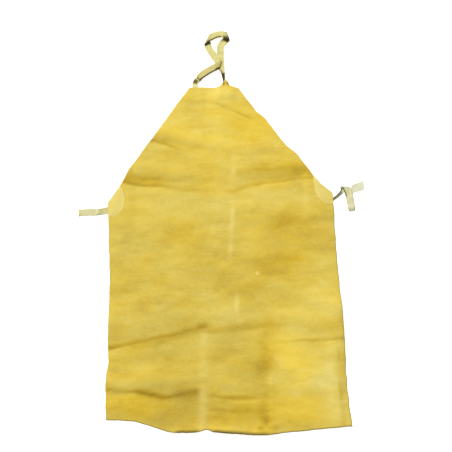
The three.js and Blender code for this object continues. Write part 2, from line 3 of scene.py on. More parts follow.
import bpy
import numpy as np
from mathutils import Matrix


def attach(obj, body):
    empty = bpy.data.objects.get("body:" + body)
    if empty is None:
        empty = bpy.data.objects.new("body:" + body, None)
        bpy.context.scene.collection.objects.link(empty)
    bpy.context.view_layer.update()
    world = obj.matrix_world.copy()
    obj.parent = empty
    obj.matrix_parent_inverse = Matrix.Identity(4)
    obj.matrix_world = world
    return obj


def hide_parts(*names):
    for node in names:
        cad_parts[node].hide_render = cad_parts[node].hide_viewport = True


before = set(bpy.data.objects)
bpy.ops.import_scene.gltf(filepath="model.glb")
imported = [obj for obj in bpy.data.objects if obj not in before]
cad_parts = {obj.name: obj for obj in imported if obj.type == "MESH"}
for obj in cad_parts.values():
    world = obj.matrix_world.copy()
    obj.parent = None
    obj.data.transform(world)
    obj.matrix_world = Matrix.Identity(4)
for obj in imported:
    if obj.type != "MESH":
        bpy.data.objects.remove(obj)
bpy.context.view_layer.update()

# Split leather apron lying open on a pale floor. Lengths in the tables are in
# millimetres, in the same frame as the solids before they are centred.
MM = 0.001
CENTRE = np.array([0.269, 0.947, 0.0])

LEATHER = 1.6        # thickness of the split leather
PATCH = 1.2          # thickness of a corner patch
PATCH_GAP = 0.2      # air under a patch
TAPE = 1.0           # thickness of the cotton tape
STRAP_WIDTH = 20
TIE_WIDTH = 20
TUCK_RADIUS = 0.75
FLOOR_BITE = 1.2
FLOOR_EASE = 0.8
CREASE_SOFT = 3
BULGE_REACH = 3.2
SEAT_EASE = 24
PATCH_INSET = 0.6
HEM_SPAN = 3


def table(columns, rows):
    keys = columns.split()
    return [dict(zip(keys, r)) for r in rows]


# ---------------------------------------------------------------- tables of the solids
SECTIONS = table("name lx ly rx ry", [
    ('hem', -283, -511, 321, -525),
    ('hem_edge', -285, -468, 316, -475),
    ('low_fold', -288, -427, 313, -432),
    ('low', -282, -371, 311, -374),
    ('knee_fold', -287, -312, 311, -314),
    ('thigh', -286, -221, 307, -221),
    ('hip', -291, -117, 301, -117),
    ('lap', -298, -20, 298, -9),
    ('waist', -302, 43, 296, 70),
    ('arm_low', -273, 87, 266, 95),
    ('arm_fold', -249, 135, 240, 128),
    ('arm_mid', -211, 197, 205, 178),
    ('arm_notch', -186, 230, 175, 205),
    ('arm_high', -140, 302, 119, 286),
    ('bib_low', -126, 324, 96, 305),
    ('bib_top', -88, 375, 46, 375),
])
HEM = table("at drop", [
    (0, 0),
    (0.091, 0.5),
    (0.152, 6.5),
    (0.207, 16),
    (0.287, 25.5),
    (0.371, 23.5),
    (0.412, 17),
    (0.44, 21),
    (0.545, 24.5),
    (0.626, 26.5),
    (0.666, 24),
    (0.836, 11.5),
    (0.95, 3),
    (1, 0),
])
BIB_TOP = table("at rise", [
    (0, 0),
    (0.18, 0.9),
    (0.4, 0.9),
    (0.57, 2.6),
    (0.64, 8),
    (0.69, 19),
    (0.735, 25),
    (0.775, 19),
    (0.815, 8),
    (0.89, 3.6),
    (1, 0),
])
CREASES = table("name x0 y0 x1 y1 x2 y2 back crest fore rise fade", [
    ('bib_top', -104, 333, -32, 326, 70, 287, 18, 2.6, 12, 1.4, 40),
    ('bib_soft', -170, 254, -70, 243, 60, 232, 34, 3.2, 26, 1.6, 90),
    ('bib_low', -205, 228, -100, 196, 160, 177, 26, 5.4, 20, 2.6, 90),
    ('waist_left', -285, 106, -138, 93, -20, 78, 27, 7, 22, 4.4, 60),
    ('waist_right', 24, 88, 130, 104, 262, 106, 44, 11, 18, 4.6, 84),
    ('lap_short', 20, 3, 55, 9, 92, 12, 15, 2.8, 12, 1.2, 30),
    ('lap_soft', 50, -26, 140, -28, 292, -20, 34, 4.6, 30, 1.4, 110),
    ('hip_soft', 90, -118, 150, -116, 215, -112, 28, 3, 26, 1, 80),
    ('knee_left', -292, -334, -160, -308, -50, -291, 56, 9.5, 22, 4, 44),
    ('knee_mid', -26, -292, 60, -286, 150, -278, 46, 8, 22, 3, 60),
    ('knee_right', 165, -322, 240, -319, 318, -317, 62, 7.6, 22, 2.6, 70),
    ('low_left', -292, -449, -170, -448, -58, -440, 27, 9.5, 20, 4.6, 40),
    ('low_mid', -26, -452, 40, -453, 118, -461, 25, 5.6, 18, 3, 50),
    ('hem_mid', -30, -489, 40, -488, 116, -486, 18, 3.4, 16, 2, 44),
])
RIDGES = table("name x0 y0 x1 y1 x2 y2 height left right fade", [
    ('pinch', -40, -290, -38, -415, -34, -548, 2.2, 20, 22, 40),
    ('step', 126, -372, 127, -455, 126, -556, 2.6, 14, 62, 50),
    ('roll', 302, -215, 297, -330, 292, -540, 5.2, 58, 27, 48),
])
HEM_LIFTS = table("from to lift reach", [
    (-120, -42, 6.5, 46),
    (-26, 122, 8.5, 44),
])
SEATS = table("name x y hx hy height", [
    ('strap_left', -74, 362, 14, 24, 1.75),
    ('strap_right', 11, 384, 13, 30, 3.3),
    ('tie_left', -284, 42, 36, 54, 1.75),
    ('tie_right', 276, 70, 40, 56, 3.1),
])
QUIET = table("x y radius", [
    (-282, 44, 92),
    (274, 74, 92),
    (-74, 378, 42),
    (10, 384, 40),
])
PATCHES = table("name side x0 y0 ax ay bx by x1 y1", [
    ('corner_patch_left', 'l', -274, 86, -246, 60, -256, 2, -300, 2),
    ('corner_patch_right', 'r', 249, 116, 243, 78, 252, 38, 297, 37),
])
NECK_STRAP = dict(x=-73.5, y=347, heading=90, width=STRAP_WIDTH, side=1, cut=0, rows=table("name run turn tuck gather rise fold way radius", [
    ('sewn_left', 37, 0, 0, 0.86, 0, 0, 0, 0),
    ('lean', 14, -38, 0, 0.84, 0, 0, 0, 0),
    ('under_pleat', 15, 0, 0, 0.8, 0, 180, 1, 1.4),
    ('pleat', 11, 0, 0, 0.8, 0, 180, 1, 1.4),
    ('lead', 20, -14, 0, 1, 0, 0, 0, 0),
    ('arc', 44, -10, 0, 1, -1.5, 0, 0, 0),
    ('arc_end', 11, 0, 0, 1, 0, 95, -1, 1.4),
    ('rise_left', 57, 0, 0, 1, 0, 0, 0, 0),
    ('rise_turn', 14, -16, 0, 1, 0, 0, 0, 0),
    ('rise_top', 14, 0, 0, 1, 0, -80, 1, 2.5),
    ('top_left', 31, 0, 0, 1, 0.5, 0, 0, 0),
    ('top_mid', 31, -42, 0, 1, 0.4, 0, 0, 0),
    ('top_end', 7, 0, 0, 1, 0, -118, -1, 3.6),
    ('under_top', 35, 0, 0, 1, 0, 0, 0, 0),
    ('bend', 17, 44, 0, 1, 0, 0, 0, 0),
    ('right', 62, 3, 0, 1, 0, 0, 0, 0),
    ('narrow', 14, 4, -90, 0.9, 0, 0, 0, 0),
    ('leg', 13, 4, -174, 0.72, 0, 0, 0, 0),
    ('into_tip', 16, -4, -178, 0.7, 0, 0, 0, 0),
    ('sewn_right', 32, 0, -178, 0.7, 0, 0, 0, 0),
]))
WAIST_TIE_LEFT = dict(x=-262, y=28, heading=188, width=TIE_WIDTH, side=0, cut=0, rows=table("name run turn tuck gather rise fold way radius", [
    ('sewn', 34, 0, 0, 1, 0, 0, 0, 0),
    ('out', 18, 6, 0, 0.92, 0.4, 0, 0, 0),
    ('wave', 10, -6, 0, 0.82, 2.2, 0, 0, 0),
    ('lie', 12, -9, 0, 0.96, -2.6, 0, 0, 0),
    ('end', 44, 9, 0, 0.94, 0, 0, 0, 0),
]))
WAIST_TIE_RIGHT = dict(x=270.2, y=32, heading=41, width=TIE_WIDTH, side=1, cut=-0.45, rows=table("name run turn tuck gather rise fold way radius", [
    ('sewn', 36, 0, 178, 0.62, 0, 0, 0, 0),
    ('open', 14, 2, 112, 0.74, 0, 0, 0, 0),
    ('stand', 14, 1, 88, 0.84, 0, 0, 0, 0),
    ('spread', 8, 10, 14, 0.78, 0, 0, 0, 0),
    ('top', 5.5, 0, 0, 0.78, 0, -119, 1, 2.6),
    ('flap_top', 16, 0, 0, 0.94, 0, 0, 0, 0),
    ('flap_mid', 18, -16, 0, 1, 0, 0, 0, 0),
    ('flap', 26, 0, 0, 1, -2, 0, 0, 0),
    ('flap_end', 14, 0, 0, 0.66, 0, 178, -1, 1.6),
    ('return', 14, 0, 0, 1, 0, 0, 0, 0),
    ('back', 43.5, 0, 0, 1, 0, -78, 1, 1.3),
    ('end', 48, 2, 0, 1.16, -2.6, 0, 0, 0),
]))

# ---------------------------------------------------------------- tables of the finish
# Soft patches of tone in the hide: middle, half sizes, then how much lighter
# (plus) or duller (minus), and how much more golden (plus) or chalky (minus).
TONES = table("name x y rx ry light warm", [
    ("bib_top", -23, 354, 60, 30, 0.30, 0.18),
    ("bib_right", 91, 265, 55, 45, 0.22, 0.68),
    ("bib_left", -132, 260, 38, 40, 0.14, 0.26),
    ("bib_mid", -41, 221, 85, 34, 0.26, 0.24),
    ("bib", -18, 293, 52, 36, 0.21, 0.40),
    ("waist_fold_left", -191, 103, 56, 16, 0.00, 0.35),
    ("waist_fold_right", 109, 134, 70, 18, 0.02, 0.25),
    ("arm_right", 202, 145, 46, 33, 0.06, 0.39),
    ("waist_left", -172, 42, 105, 38, -0.01, -0.06),
    ("waist_mid", -22, 33, 85, 38, 0.14, -0.19),
    ("waist_right", 156, 51, 100, 28, 0.18, -0.09),
    ("lap_left", -230, -76, 66, 57, -0.05, -0.20),
    ("lap_gold", -91, -40, 46, 55, -0.06, 0.30),
    ("lap_mid", -4, -94, 56, 56, -0.19, -0.05),
    ("lap_right", 207, -31, 84, 46, -0.32, 0.24),
    ("hip_right", 161, -120, 64, 42, -0.25, 0.28),
    ("hip_edge", 258, -181, 44, 64, 0.12, -0.20),
    ("hip_mid", 48, -181, 64, 46, -0.10, 0.10),
    ("hip_left", -226, -198, 64, 46, -0.16, 0.06),
    ("thigh_left", -89, -173, 74, 46, 0.01, 0.02),
    ("thigh_bright", -20, -241, 110, 24, 0.12, 0.06),
    ("thigh_right", 201, -241, 82, 36, 0.21, 0.02),
    ("knee_left", -187, -350, 72, 36, -0.01, 0.06),
    ("knee_gold", -153, -391, 64, 36, -0.01, 0.22),
    ("knee_mid", 22, -366, 74, 55, -0.07, 0.08),
    ("knee_right", 181, -350, 54, 42, 0.34, 0.43),
    ("low_pale", 267, -399, 42, 56, 0.26, -0.54),
    ("low_right", 188, -415, 55, 46, 0.30, -0.06),
    ("corner_left", -216, -475, 64, 32, -0.02, 0.80),
    # painted shade beside the low fold
    ("olive", -85, -443, 55, 28, -0.24, -0.20),
    ("hem_left", -117, -510, 82, 28, -0.33, 0.04),
    ("hem_mid", 30, -502, 74, 36, -0.24, 0.31),
    ("hem_spots", 116, -512, 20, 35, -0.32, 0.70),
    ("hem_right", 194, -483, 74, 36, 0.23, 0.63),
    ("hem_far", 276, -495, 42, 32, 0.22, -0.06),
    ("tip_stain", 3, 371, 12, 6, -0.06, 0.60),
    # painted shade on the left side of the step crease
    ("step_dark", 112, -374, 20, 80, -0.28, 0.21),
    ("side_left", -284, -40, 20, 110, 0.08, -0.10),
    ("strip", 307, -423, 13, 100, -0.04, 0.20),
])

# Pale soft streaks down the hide: the one along the pinch ridge is a painted highlight on the ridge's lit side, the
# others pale lines down the middle. Three points each, half width.
STREAKS = table("x0 y0 x1 y1 x2 y2 half amount", [
    (36, 190, 36, 156, 35, 122, 7.0, 0.46),
    (31, 116, 28, 70, 27, 30, 7.0, 0.14),
    (27, 30, 25, -40, 22, -112, 6.5, 0.36),
    (38, -192, 42, -240, 45, -282, 6.0, 0.52),
    (-42, -296, -43, -415, -44, -545, 11.0, 0.28),
])

# Faint lines of painted shade down the hide, where the edge rolls away from the light: as the streaks.
EDGE_LINES = table("x0 y0 x1 y1 x2 y2 half amount", [
    (293, -312, 295, -415, 298, -522, 4.0, 0.30),
])

# Painted shade along the folds, dark lines and bands: three points each, how far the shade
# reaches to the bib side and to the hem side, and how strong it is at the points.
STROKES = table("name x0 y0 x1 y1 x2 y2 above below a0 a1 a2", [
    ("bib_top", -82, 335, -18, 324, 72, 284, 9, 3, 0.15, 0.3, 0.45),
    ("bib_wedge", -188, 219, -148, 206, -102, 190, 10, 3, 0.9, 0.55, 0.05),
    ("bib_wedge_wide", -181, 226, -154, 217, -118, 203, 16, 8, 0.28, 0.2, 0.05),
    ("waist_left", -264, 102, -212, 93, -151, 88, 7, 3, 0.9, 0.75, 0.25),
    ("waist_left_wide", -264, 110, -218, 103, -143, 93, 14, 9, 0.58, 0.52, 0.2),
    ("waist_left_end", -151, 88, -97, 79, -25, 75, 8, 4, 0.25, 0.2, 0.1),
    ("waist_right_wide", 39, 131, 144, 131, 248, 128, 20, 14, 0.04, 0.08, 0.15),
    ("waist_right_high", 50, 126, 171, 137, 243, 128, 6, 6, 0.14, 0.28, 0.46),
    ("waist_right_mid", 143, 111, 202, 123, 245, 119, 6, 6, 0.05, 0.18, 0.3),
    ("waist_right", 31, 75, 108, 95, 245, 110, 8, 4, 0.34, 0.48, 0.4),
    ("knee_left", -281, -336, -179, -318, -46, -284, 7, 3, 0.85, 0.6, 0.4),
    ("knee_left_wide", -229, -329, -129, -311, -46, -282, 10, 11, 0.25, 0.52, 0.42),
    ("knee_mid", -27, -297, 47, -288, 149, -281, 13, 6, 0.42, 0.5, 0.15),
    ("knee_right", 140, -324, 218, -319, 304, -314, 6, 4, 0.2, 0.42, 0.5),
    ("low_edge", -278, -441, -245, -443, -201, -443, 4, 3, 0.45, 0.35, 0.45),
    ("low_left", -201, -443, -137, -456, -67, -438, 6, 4, 0.8, 0.75, 0.5),
    ("low_left_wide", -196, -446, -136, -456, -65, -444, 10, 14, 0.35, 0.55, 0.6),
    ("low_mid", -20, -454, 50, -457, 107, -454, 7, 5, 0.5, 0.6, 0.35),
    ("hem_mid", -20, -487, 56, -492, 113, -487, 6, 6, 0.35, 0.46, 0.36),
])

# Small marks: middle, half sizes, then darkness (painted shadow in the two pockets at the strap's leather tip, painted
# shade in the olive block, real stains at the hem) and paleness (a pale dot).
SPOTS = table("name x y rx ry dark rub", [
    ("pocket_left", 5, 388, 4.0, 5.0, 0.9, 0.0),
    ("pocket_right", 17, 388, 3.6, 5.0, 0.9, 0.0),
    ("pale_dot", 93, -146, 4.0, 3.6, 0.0, 0.75),
    ("olive_block", -89, -458, 26, 24, 0.5, 0.0),
    ("hem_spot_a", 97, -529, 9, 6, 0.68, 0.0),
    ("hem_spot_b", 110, -515, 6, 9, 0.55, 0.0),
    ("hem_spot_c", 134, -527, 14, 5, 0.4, 0.0),
    ("hem_spot_d", 168, -512, 7, 5, 0.36, 0.0),
])

# How much of each fold's relief the limp hide keeps, at its left and right end.
RELIEF = {
    "bib_top": (0.7, 0.9), "bib_soft": (0.3, 0.3), "bib_low": (0.9, 0.25), "waist_left": (1.0, 0.45),
    "waist_right": (0.4, 0.6), "lap_short": (0.5, 0.5), "lap_soft": (0.4, 0.4), "hip_soft": (0.4, 0.4),
    "knee_left": (0.7, 0.16), "knee_mid": (0.45, 0.4), "knee_right": (0.4, 0.6), "low_left": (0.45, 0.25),
    "low_mid": (0.8, 0.7), "hem_mid": (0.3, 0.3),
}

# Painted shade and tone on the tapes: from and to along the tape, from and to across it as
# shares of its half width (plus for its left half), then dark (painted shadow and shade under raised
# layers, along lifted edges and in folds), olive (painted shade at folds and crossings, plain olive tone along the left
# tie) and pale (a paler colour).
TAPE_SHADE_AND_TONE = table("tape s0 s1 w0 w1 dark olive pale", [
    ("neck_strap", 41, 53, -0.5, 1.3, 0.9, 0, 0),
    ("neck_strap", 54, 68, -1.3, -0.55, 0.9, 0, 0),
    ("neck_strap", 16, 40, -1.3, 1.3, 0, 0, 0.5),
    ("neck_strap", 79, 150, -1.3, -0.6, 1.0, 0, 0),
    ("neck_strap", 134, 152, -1.3, -0.4, 1.0, 0, 0),
    ("neck_strap", 84, 152, -1.3, 1.3, 0, 0.4, 0),
    ("neck_strap", 136, 153, -0.4, 1.3, 0.1, 0.5, 0),
    ("neck_strap", 228, 236, -1.3, 1.3, 0.95, 0, 0),
    ("neck_strap", 240, 290, -1.3, -0.62, 1.0, 0, 0),
    ("neck_strap", 240, 303, -0.9, -0.1, 0, 0.3, 0),
    ("neck_strap", 296, 317, -1.3, -0.4, 0.9, 0, 0),
    ("neck_strap", 308, 330, -0.75, 1.3, 0.92, 0, 0),
    ("neck_strap", 367, 378, -1.3, 1.3, 0, 0.4, 0),
    ("neck_strap", 426, 462, -0.1, 1.3, 1.0, 0, 0),
    ("neck_strap", 434, 450, -1.3, 1.3, 0.9, 0, 0),
    ("waist_tie_left", 28, 66, -1.3, 1.3, 0, 0.62, 0),
    ("waist_tie_left", 66, 120, -1.3, 1.3, 0, 0.38, 0),
    ("waist_tie_left", 58, 70, 0.7, 1.3, 0.7, 0, 0),
    ("waist_tie_left", 112, 120, 0.4, 1.3, 0.4, 0, 0),
    ("waist_tie_right", 34, 72, -0.05, 1.3, 0.95, 0, 0),
    ("waist_tie_right", 34, 78, -1.3, -0.15, 0, 0, 0.8),
    ("waist_tie_right", 81, 114, 0.6, 1.3, 0.9, 0, 0),
    ("waist_tie_right", 94, 108, -0.4, 0.7, 0, 0.45, 0),
    ("waist_tie_right", 100, 150, -1.3, -0.8, 0.3, 0, 0),
    ("waist_tie_right", 144, 166, -1.3, 1.3, 0.15, 0.1, 0),
    ("waist_tie_right", 209, 262, -1.3, 1.3, 0, 0, 0.75),
])

# ---------------------------------------------------------------- number helpers
def smooth(t):
    c = np.clip(t, 0.0, 1.0)
    return c * c * (3 - 2 * c)


def mix(a, b, t):
    return a + (b - a) * t


def lattice(ix, iy, seed):
    n = (ix.astype(np.int64) * 374761393 + iy.astype(np.int64) * 668265263 + seed * 974634777) & 0xFFFFFFFF
    n = ((n ^ (n >> 13)) * 1274126177) & 0xFFFFFFFF
    n = ((n ^ (n >> 16)) * 2246822519) & 0xFFFFFFFF
    return ((n ^ (n >> 15)) & 0xFFFFFF) / float(0xFFFFFF) * 2 - 1


def noise(x, y, seed):
    ix, iy = np.floor(x), np.floor(y)
    fx, fy = x - ix, y - iy
    ux = fx ** 3 * (fx * (fx * 6 - 15) + 10)
    uy = fy ** 3 * (fy * (fy * 6 - 15) + 10)
    a = mix(lattice(ix, iy, seed), lattice(ix + 1, iy, seed), ux)
    b = mix(lattice(ix, iy + 1, seed), lattice(ix + 1, iy + 1, seed), ux)
    return mix(a, b, uy)


def fbm(x, y, seed, octaves=4, gain=0.5):
    total, amp = np.zeros_like(x), 1.0
    for k in range(octaves):
        total = total + amp * noise(x, y, seed + 17 * k)
        x, y = 1.93 * x + 0.31 * y + 5.3, 1.93 * y - 0.31 * x + 1.7
        amp *= gain
    return total


def through(rows, key, value, at):
    """Smooth curve through table rows: monotone cubic between neighbours."""
    k = np.array([r[key] for r in rows], float)
    v = np.array([r[value] for r in rows], float)
    n = len(rows)
    slope = np.diff(v) / np.diff(k)
    tangent = np.zeros(n)
    tangent[0], tangent[-1] = slope[0], slope[-1]
    for j in range(1, n - 1):
        a, b = slope[j - 1], slope[j]
        tangent[j] = 0 if a * b <= 0 else 2 * a * b / (a + b)
    i = np.clip(np.searchsorted(k, at, side="left") - 1, 0, n - 2)
    h = k[i + 1] - k[i]
    t = np.clip((at - k[i]) / h, 0, 1)
    t2, t3 = t * t, t ** 3
    return (v[i] * (2 * t3 - 3 * t2 + 1) + v[i + 1] * (3 * t2 - 2 * t3)
            + h * tangent[i] * (t3 - 2 * t2 + t) + h * tangent[i + 1] * (t3 - t2))


def parabola(a, p0, q0, p1, q1, p2, q2):
    return (q0 * ((a - p1) * (a - p2)) / ((p0 - p1) * (p0 - p2))
            + q1 * ((a - p0) * (a - p2)) / ((p1 - p0) * (p1 - p2))
            + q2 * ((a - p0) * (a - p1)) / ((p2 - p0) * (p2 - p1)))


def bulge(t):
    rise = 1 - (1 - np.clip(t, 0, 1)) ** 2
    fall = 0.5 * (1 + np.cos(np.pi * (np.clip(t, 1, BULGE_REACH) - 1) / (BULGE_REACH - 1)))
    return np.where(t < 1, rise, fall)


def window1(a, lo, hi, fade):
    return smooth((a - lo + fade * 0.5) / fade) * smooth((hi + fade * 0.5 - a) / fade)


# ---------------------------------------------------------------- the panel's plan
V_TOP = len(SECTIONS) - 1
EDGES = {s: np.array([[r[s + "x"], r[s + "y"]] for r in SECTIONS], float) for s in "lr"}
WAIST = [r["name"] for r in SECTIONS].index("waist")


def edge_point(side, v):
    e = EDGES[side]
    i = np.clip(np.floor(v).astype(int), 0, V_TOP - 1)
    t = v - i
    return mix(e[i, 0], e[i + 1, 0], t), mix(e[i, 1], e[i + 1, 1], t)


def plan(u, v):
    lx, ly = edge_point("l", v)
    rx, ry = edge_point("r", v)
    # a hand-cut edge is never quite straight
    lx = lx + 0.9 * noise(ly / 21, ly * 0, 301) + 0.4 * noise(ly / 7, ly * 0, 302)
    rx = rx + 0.9 * noise(ry / 23, ry * 0, 303) + 0.4 * noise(ry / 8, ry * 0, 304)
    hem = np.maximum(0, 1 - v / HEM_SPAN) * through(HEM, "at", "drop", u)
    top = np.maximum(0, v - (V_TOP - 1)) * through(BIB_TOP, "at", "rise", u)
    x = mix(lx, rx, u)
    y = mix(ly, ry, u) - hem + top
    rim = np.maximum(0, 1 - v) + np.maximum(0, v - (V_TOP - 1))
    return x, y + rim * (0.7 * noise(x / 19, x * 0, 305) + 0.3 * noise(x / 6, x * 0, 306))


def hem_y(x):
    h = SECTIONS[0]
    u = np.clip((x - h["lx"]) / (h["rx"] - h["lx"]), 0, 1)
    return mix(h["ly"], h["ry"], u) - through(HEM, "at", "drop", u)


def edge_x(side, y):
    e = EDGES[side]
    return np.interp(y, e[:, 1], e[:, 0])


# ---------------------------------------------------------------- the panel's folds
def crease_parts(x, y):
    """For every crease: its own weight along x and the distance across it."""
    for c in CREASES:
        along = window1(x, c["x0"], c["x2"], c["fade"])
        xc = np.clip(x, c["x0"], c["x2"])
        d = y - parabola(xc, c["x0"], c["y0"], c["x1"], c["y1"], c["x2"], c["y2"])
        yield c, along, d


def quiet_of(x, y):
    quiet = np.ones_like(x)
    for q in QUIET:
        quiet = quiet * smooth(np.hypot(x - q["x"], y - q["y"]) / q["radius"] - 0.25)
    return quiet


def underside(x, y):
    """Height of the leather's underside: the solid's folds and, on top of them,
    the small unevenness of a limp hide."""
    h = 1.3 * np.sin(x / 118 + 0.6) * np.cos(y / 134 - 0.4) + 0.9 * np.sin(x / 61 - y / 83)
    for c, along, d in crease_parts(x, y):
        # the line of a fold wanders a little
        d = d + 2.2 * noise(x / 34, x * 0 + c["y1"], 401) + 0.9 * noise(x / 11, x * 0 + c["y1"], 402)
        soft = np.sqrt(d * d + CREASE_SOFT ** 2) - CREASE_SOFT
        keep = np.interp(x, (c["x0"], c["x2"]), RELIEF[c["name"]])
        h = h + along * keep * np.where(d > 0, c["crest"] * bulge(soft / c["back"]), c["rise"] * bulge(soft / c["fore"]))
    for r in RIDGES:
        along = window1(y, r["y2"], r["y0"], r["fade"])
        line = parabola(np.clip(y, r["y2"], r["y0"]), r["y0"], r["x0"], r["y1"], r["x1"], r["y2"], r["x2"])
        d = x - line + 1.6 * noise(y / 30, y * 0, 403)
        t = np.abs(d) / np.where(d < 0, r["left"], r["right"])
        h = h + along * r["height"] * np.where(t < 1, 0.5 * (1 + np.cos(np.pi * np.clip(t, 0, 1))), 0)
    quiet = quiet_of(x, y)
    h = h * quiet - FLOOR_BITE
    h = np.where(h <= 0, 0, np.where(h < 2 * FLOOR_EASE, h * h / (4 * FLOOR_EASE), h - FLOOR_EASE))
    for l in HEM_LIFTS:
        d = np.clip((y - hem_y(x)) / l["reach"], 0, 1)
        h = h + l["lift"] * (1 - d) ** 2 * window1(x, l["from"], l["to"], 34)
    seat = np.zeros_like(x)
    for s in SEATS:
        dx = smooth(1 - (np.abs(x - s["x"]) - s["hx"]) / SEAT_EASE)
        dy = smooth(1 - (np.abs(y - s["y"]) - s["hy"]) / SEAT_EASE)
        seat = np.maximum(seat, s["height"] * dx * dy)
    h = np.maximum(h, seat) + 0.25 * np.minimum(h, seat)
    limp = 0.55 + 0.75 * fbm(x / 95, y / 34, 411, 3) + 0.28 * fbm(x / 26, y / 13, 412, 2)
    return h + LIMP * np.maximum(0, limp) * (0.35 + 0.65 * quiet)


LIMP = 0.4


def slope_of(x, y, e=0.5):
    return ((underside(x + e, y) - underside(x - e, y)) / (2 * e),
            (underside(x, y + e) - underside(x, y - e)) / (2 * e))


def off_leather(x, y, off):
    """Points off the underside along its normal, off from 0 to the thickness and beyond."""
    gx, gy = slope_of(x, y)
    n = np.sqrt(gx * gx + gy * gy + 1)
    return np.stack([x - off * gx / n, y - off * gy / n, underside(x, y) + off / n], -1)


# ---------------------------------------------------------------- mesh helpers
def closed_sheet(low, high, mid=None):
    """Vertices and faces of a closed sheet from two matching grids, with a
    rounded rim through mid, the outermost line at half thickness."""
    rows, cols = low.shape[:2]
    n = rows * cols
    idx = np.arange(n).reshape(rows, cols)
    a, b, c, d = idx[:-1, :-1], idx[1:, :-1], idx[1:, 1:], idx[:-1, 1:]
    down = np.stack([a, b, c, d], -1).reshape(-1, 4)
    upper = np.stack([a, d, c, b], -1).reshape(-1, 4) + n
    ring = np.concatenate([idx[0, :-1], idx[:-1, -1], idx[-1, :0:-1], idx[:0:-1, 0]])
    verts = [low.reshape(-1, 3), high.reshape(-1, 3)]
    nxt = np.roll(ring, -1)
    if mid is None:
        rim = np.stack([ring, nxt, nxt + n, ring + n], -1)
    else:
        m = np.arange(len(ring)) + 2 * n
        mn = np.roll(m, -1)
        verts.append(mid)
        rim = np.concatenate([np.stack([ring, nxt, mn, m], -1), np.stack([m, mn, nxt + n, ring + n], -1)])
    return np.concatenate(verts), np.concatenate([down, upper, rim]), ring


def ring_of(grid):
    return np.concatenate([grid[0, :-1], grid[:-1, -1], grid[-1, :0:-1], grid[:0:-1, 0]])


def inset(grid, amount):
    """The grid with its outer line moved in by amount, within the sheet and
    never past the next line."""
    out = grid.copy()
    def move(edge, inner):
        d = inner - edge
        return edge + d * np.minimum(amount / np.maximum(np.linalg.norm(d, axis=-1, keepdims=True), 1e-9), 0.45)
    out[0], out[-1] = move(grid[0], grid[1]), move(grid[-1], grid[-2])
    out[:, 0], out[:, -1] = move(out[:, 0], grid[:, 1]), move(out[:, -1], grid[:, -2])
    return out


def make(name, verts, faces, attributes=None, flat_rim=0):
    me = bpy.data.meshes.new(name)
    v = (np.asarray(verts, float) - CENTRE) * MM
    faces = np.asarray(faces, np.int32)
    me.vertices.add(len(v))
    me.vertices.foreach_set("co", v.astype(np.float32).ravel())
    me.loops.add(faces.size)
    me.loops.foreach_set("vertex_index", faces.ravel())
    k = faces.shape[1]
    me.polygons.add(len(faces))
    me.polygons.foreach_set("loop_start", np.arange(0, faces.size, k, dtype=np.int32))
    me.polygons.foreach_set("loop_total", np.full(len(faces), k, np.int32))
    rounded = np.full(len(faces), True)
    if flat_rim:
        rounded[-flat_rim:] = False
    me.polygons.foreach_set("use_smooth", rounded)
    for key, value in (attributes or {}).items():
        value = np.asarray(value, np.float32)
        kind = "FLOAT" if value.ndim == 1 else "FLOAT_VECTOR"
        at = me.attributes.new(key, kind, "POINT")
        at.data.foreach_set("value" if value.ndim == 1 else "vector", value.ravel())
    me.update(calc_edges=True)
    me.validate()
    ob = bpy.data.objects.new(name, me)
    bpy.context.scene.collection.objects.link(ob)
    return ob


def area_of(verts, faces):
    v = np.asarray(verts, float)[np.asarray(faces)]
    return float(0.5 * (np.linalg.norm(np.cross(v[:, 1] - v[:, 0], v[:, 2] - v[:, 0]), axis=1)
                        + np.linalg.norm(np.cross(v[:, 2] - v[:, 0], v[:, 3] - v[:, 0]), axis=1)).sum())


# ---------------------------------------------------------------- tapes
def rad(a):
    return a * math.pi / 180


def step(t):
    c = min(1.0, max(0.0, t))
    return c * c * (3 - 2 * c)


def on_run(r, ds):
    a = r["bend"] * ds
    straight = abs(r["bend"]) < 1e-9
    k = ds if straight else math.sin(a) / r["bend"]
    m = 0.0 if straight else (1 - math.cos(a)) / r["bend"]
    return (r["p"] + r["along"] * k + r["across"] * m,
            r["along"] * math.cos(a) + r["across"] * math.sin(a),
            r["across"] * math.cos(a) - r["along"] * math.sin(a))


def lay_tape(t):
    p = np.array([t["x"], t["y"], TAPE / 2])
    along = np.array([math.cos(rad(t["heading"])), math.sin(rad(t["heading"])), 0.0])
    up = np.array([0.0, 0.0, 1.0])
    s, lift = 0.0, 0.0
    tuck, gather = t["rows"][0]["tuck"], t["rows"][0]["gather"]
    runs, folds = [], []
    for r in t["rows"]:
        hand = np.sign(up[2])
        run = dict(s0=s, s1=s + r["run"], p=p, along=along, across=np.cross(up, along), up=up,
                   bend=rad(r["turn"]) * hand / r["run"], group=len(folds), lift0=lift, lift1=lift + r["rise"],
                   tuck0=tuck, tuck1=r["tuck"], gather0=gather, gather1=r["gather"])
        runs.append(run)
        p, along, b = on_run(run, r["run"])
        s, lift, tuck, gather = s + r["run"], lift + r["rise"], r["tuck"], r["gather"]
        if r["fold"]:
            turn = rad(r["fold"]) * hand
            skew = np.sign(turn) * (math.pi - abs(turn)) / 2
            side = r["way"] * hand
            g = along * math.cos(skew) - b * math.sin(skew)
            f = b * math.cos(skew) + along * math.sin(skew)
            folds.append(dict(s=s, p=p, g=g, f=f, up=up, skew=skew, side=side, r=r["radius"], arc=math.pi * r["radius"]))
            along = -g * math.cos(skew) + f * math.sin(skew)
            p = p + g * math.pi * r["radius"] + up * side * 2 * r["radius"]
            up = -up
    return dict(runs=runs, folds=folds, length=s, width=t["width"], side=t["side"], cut=t["cut"])


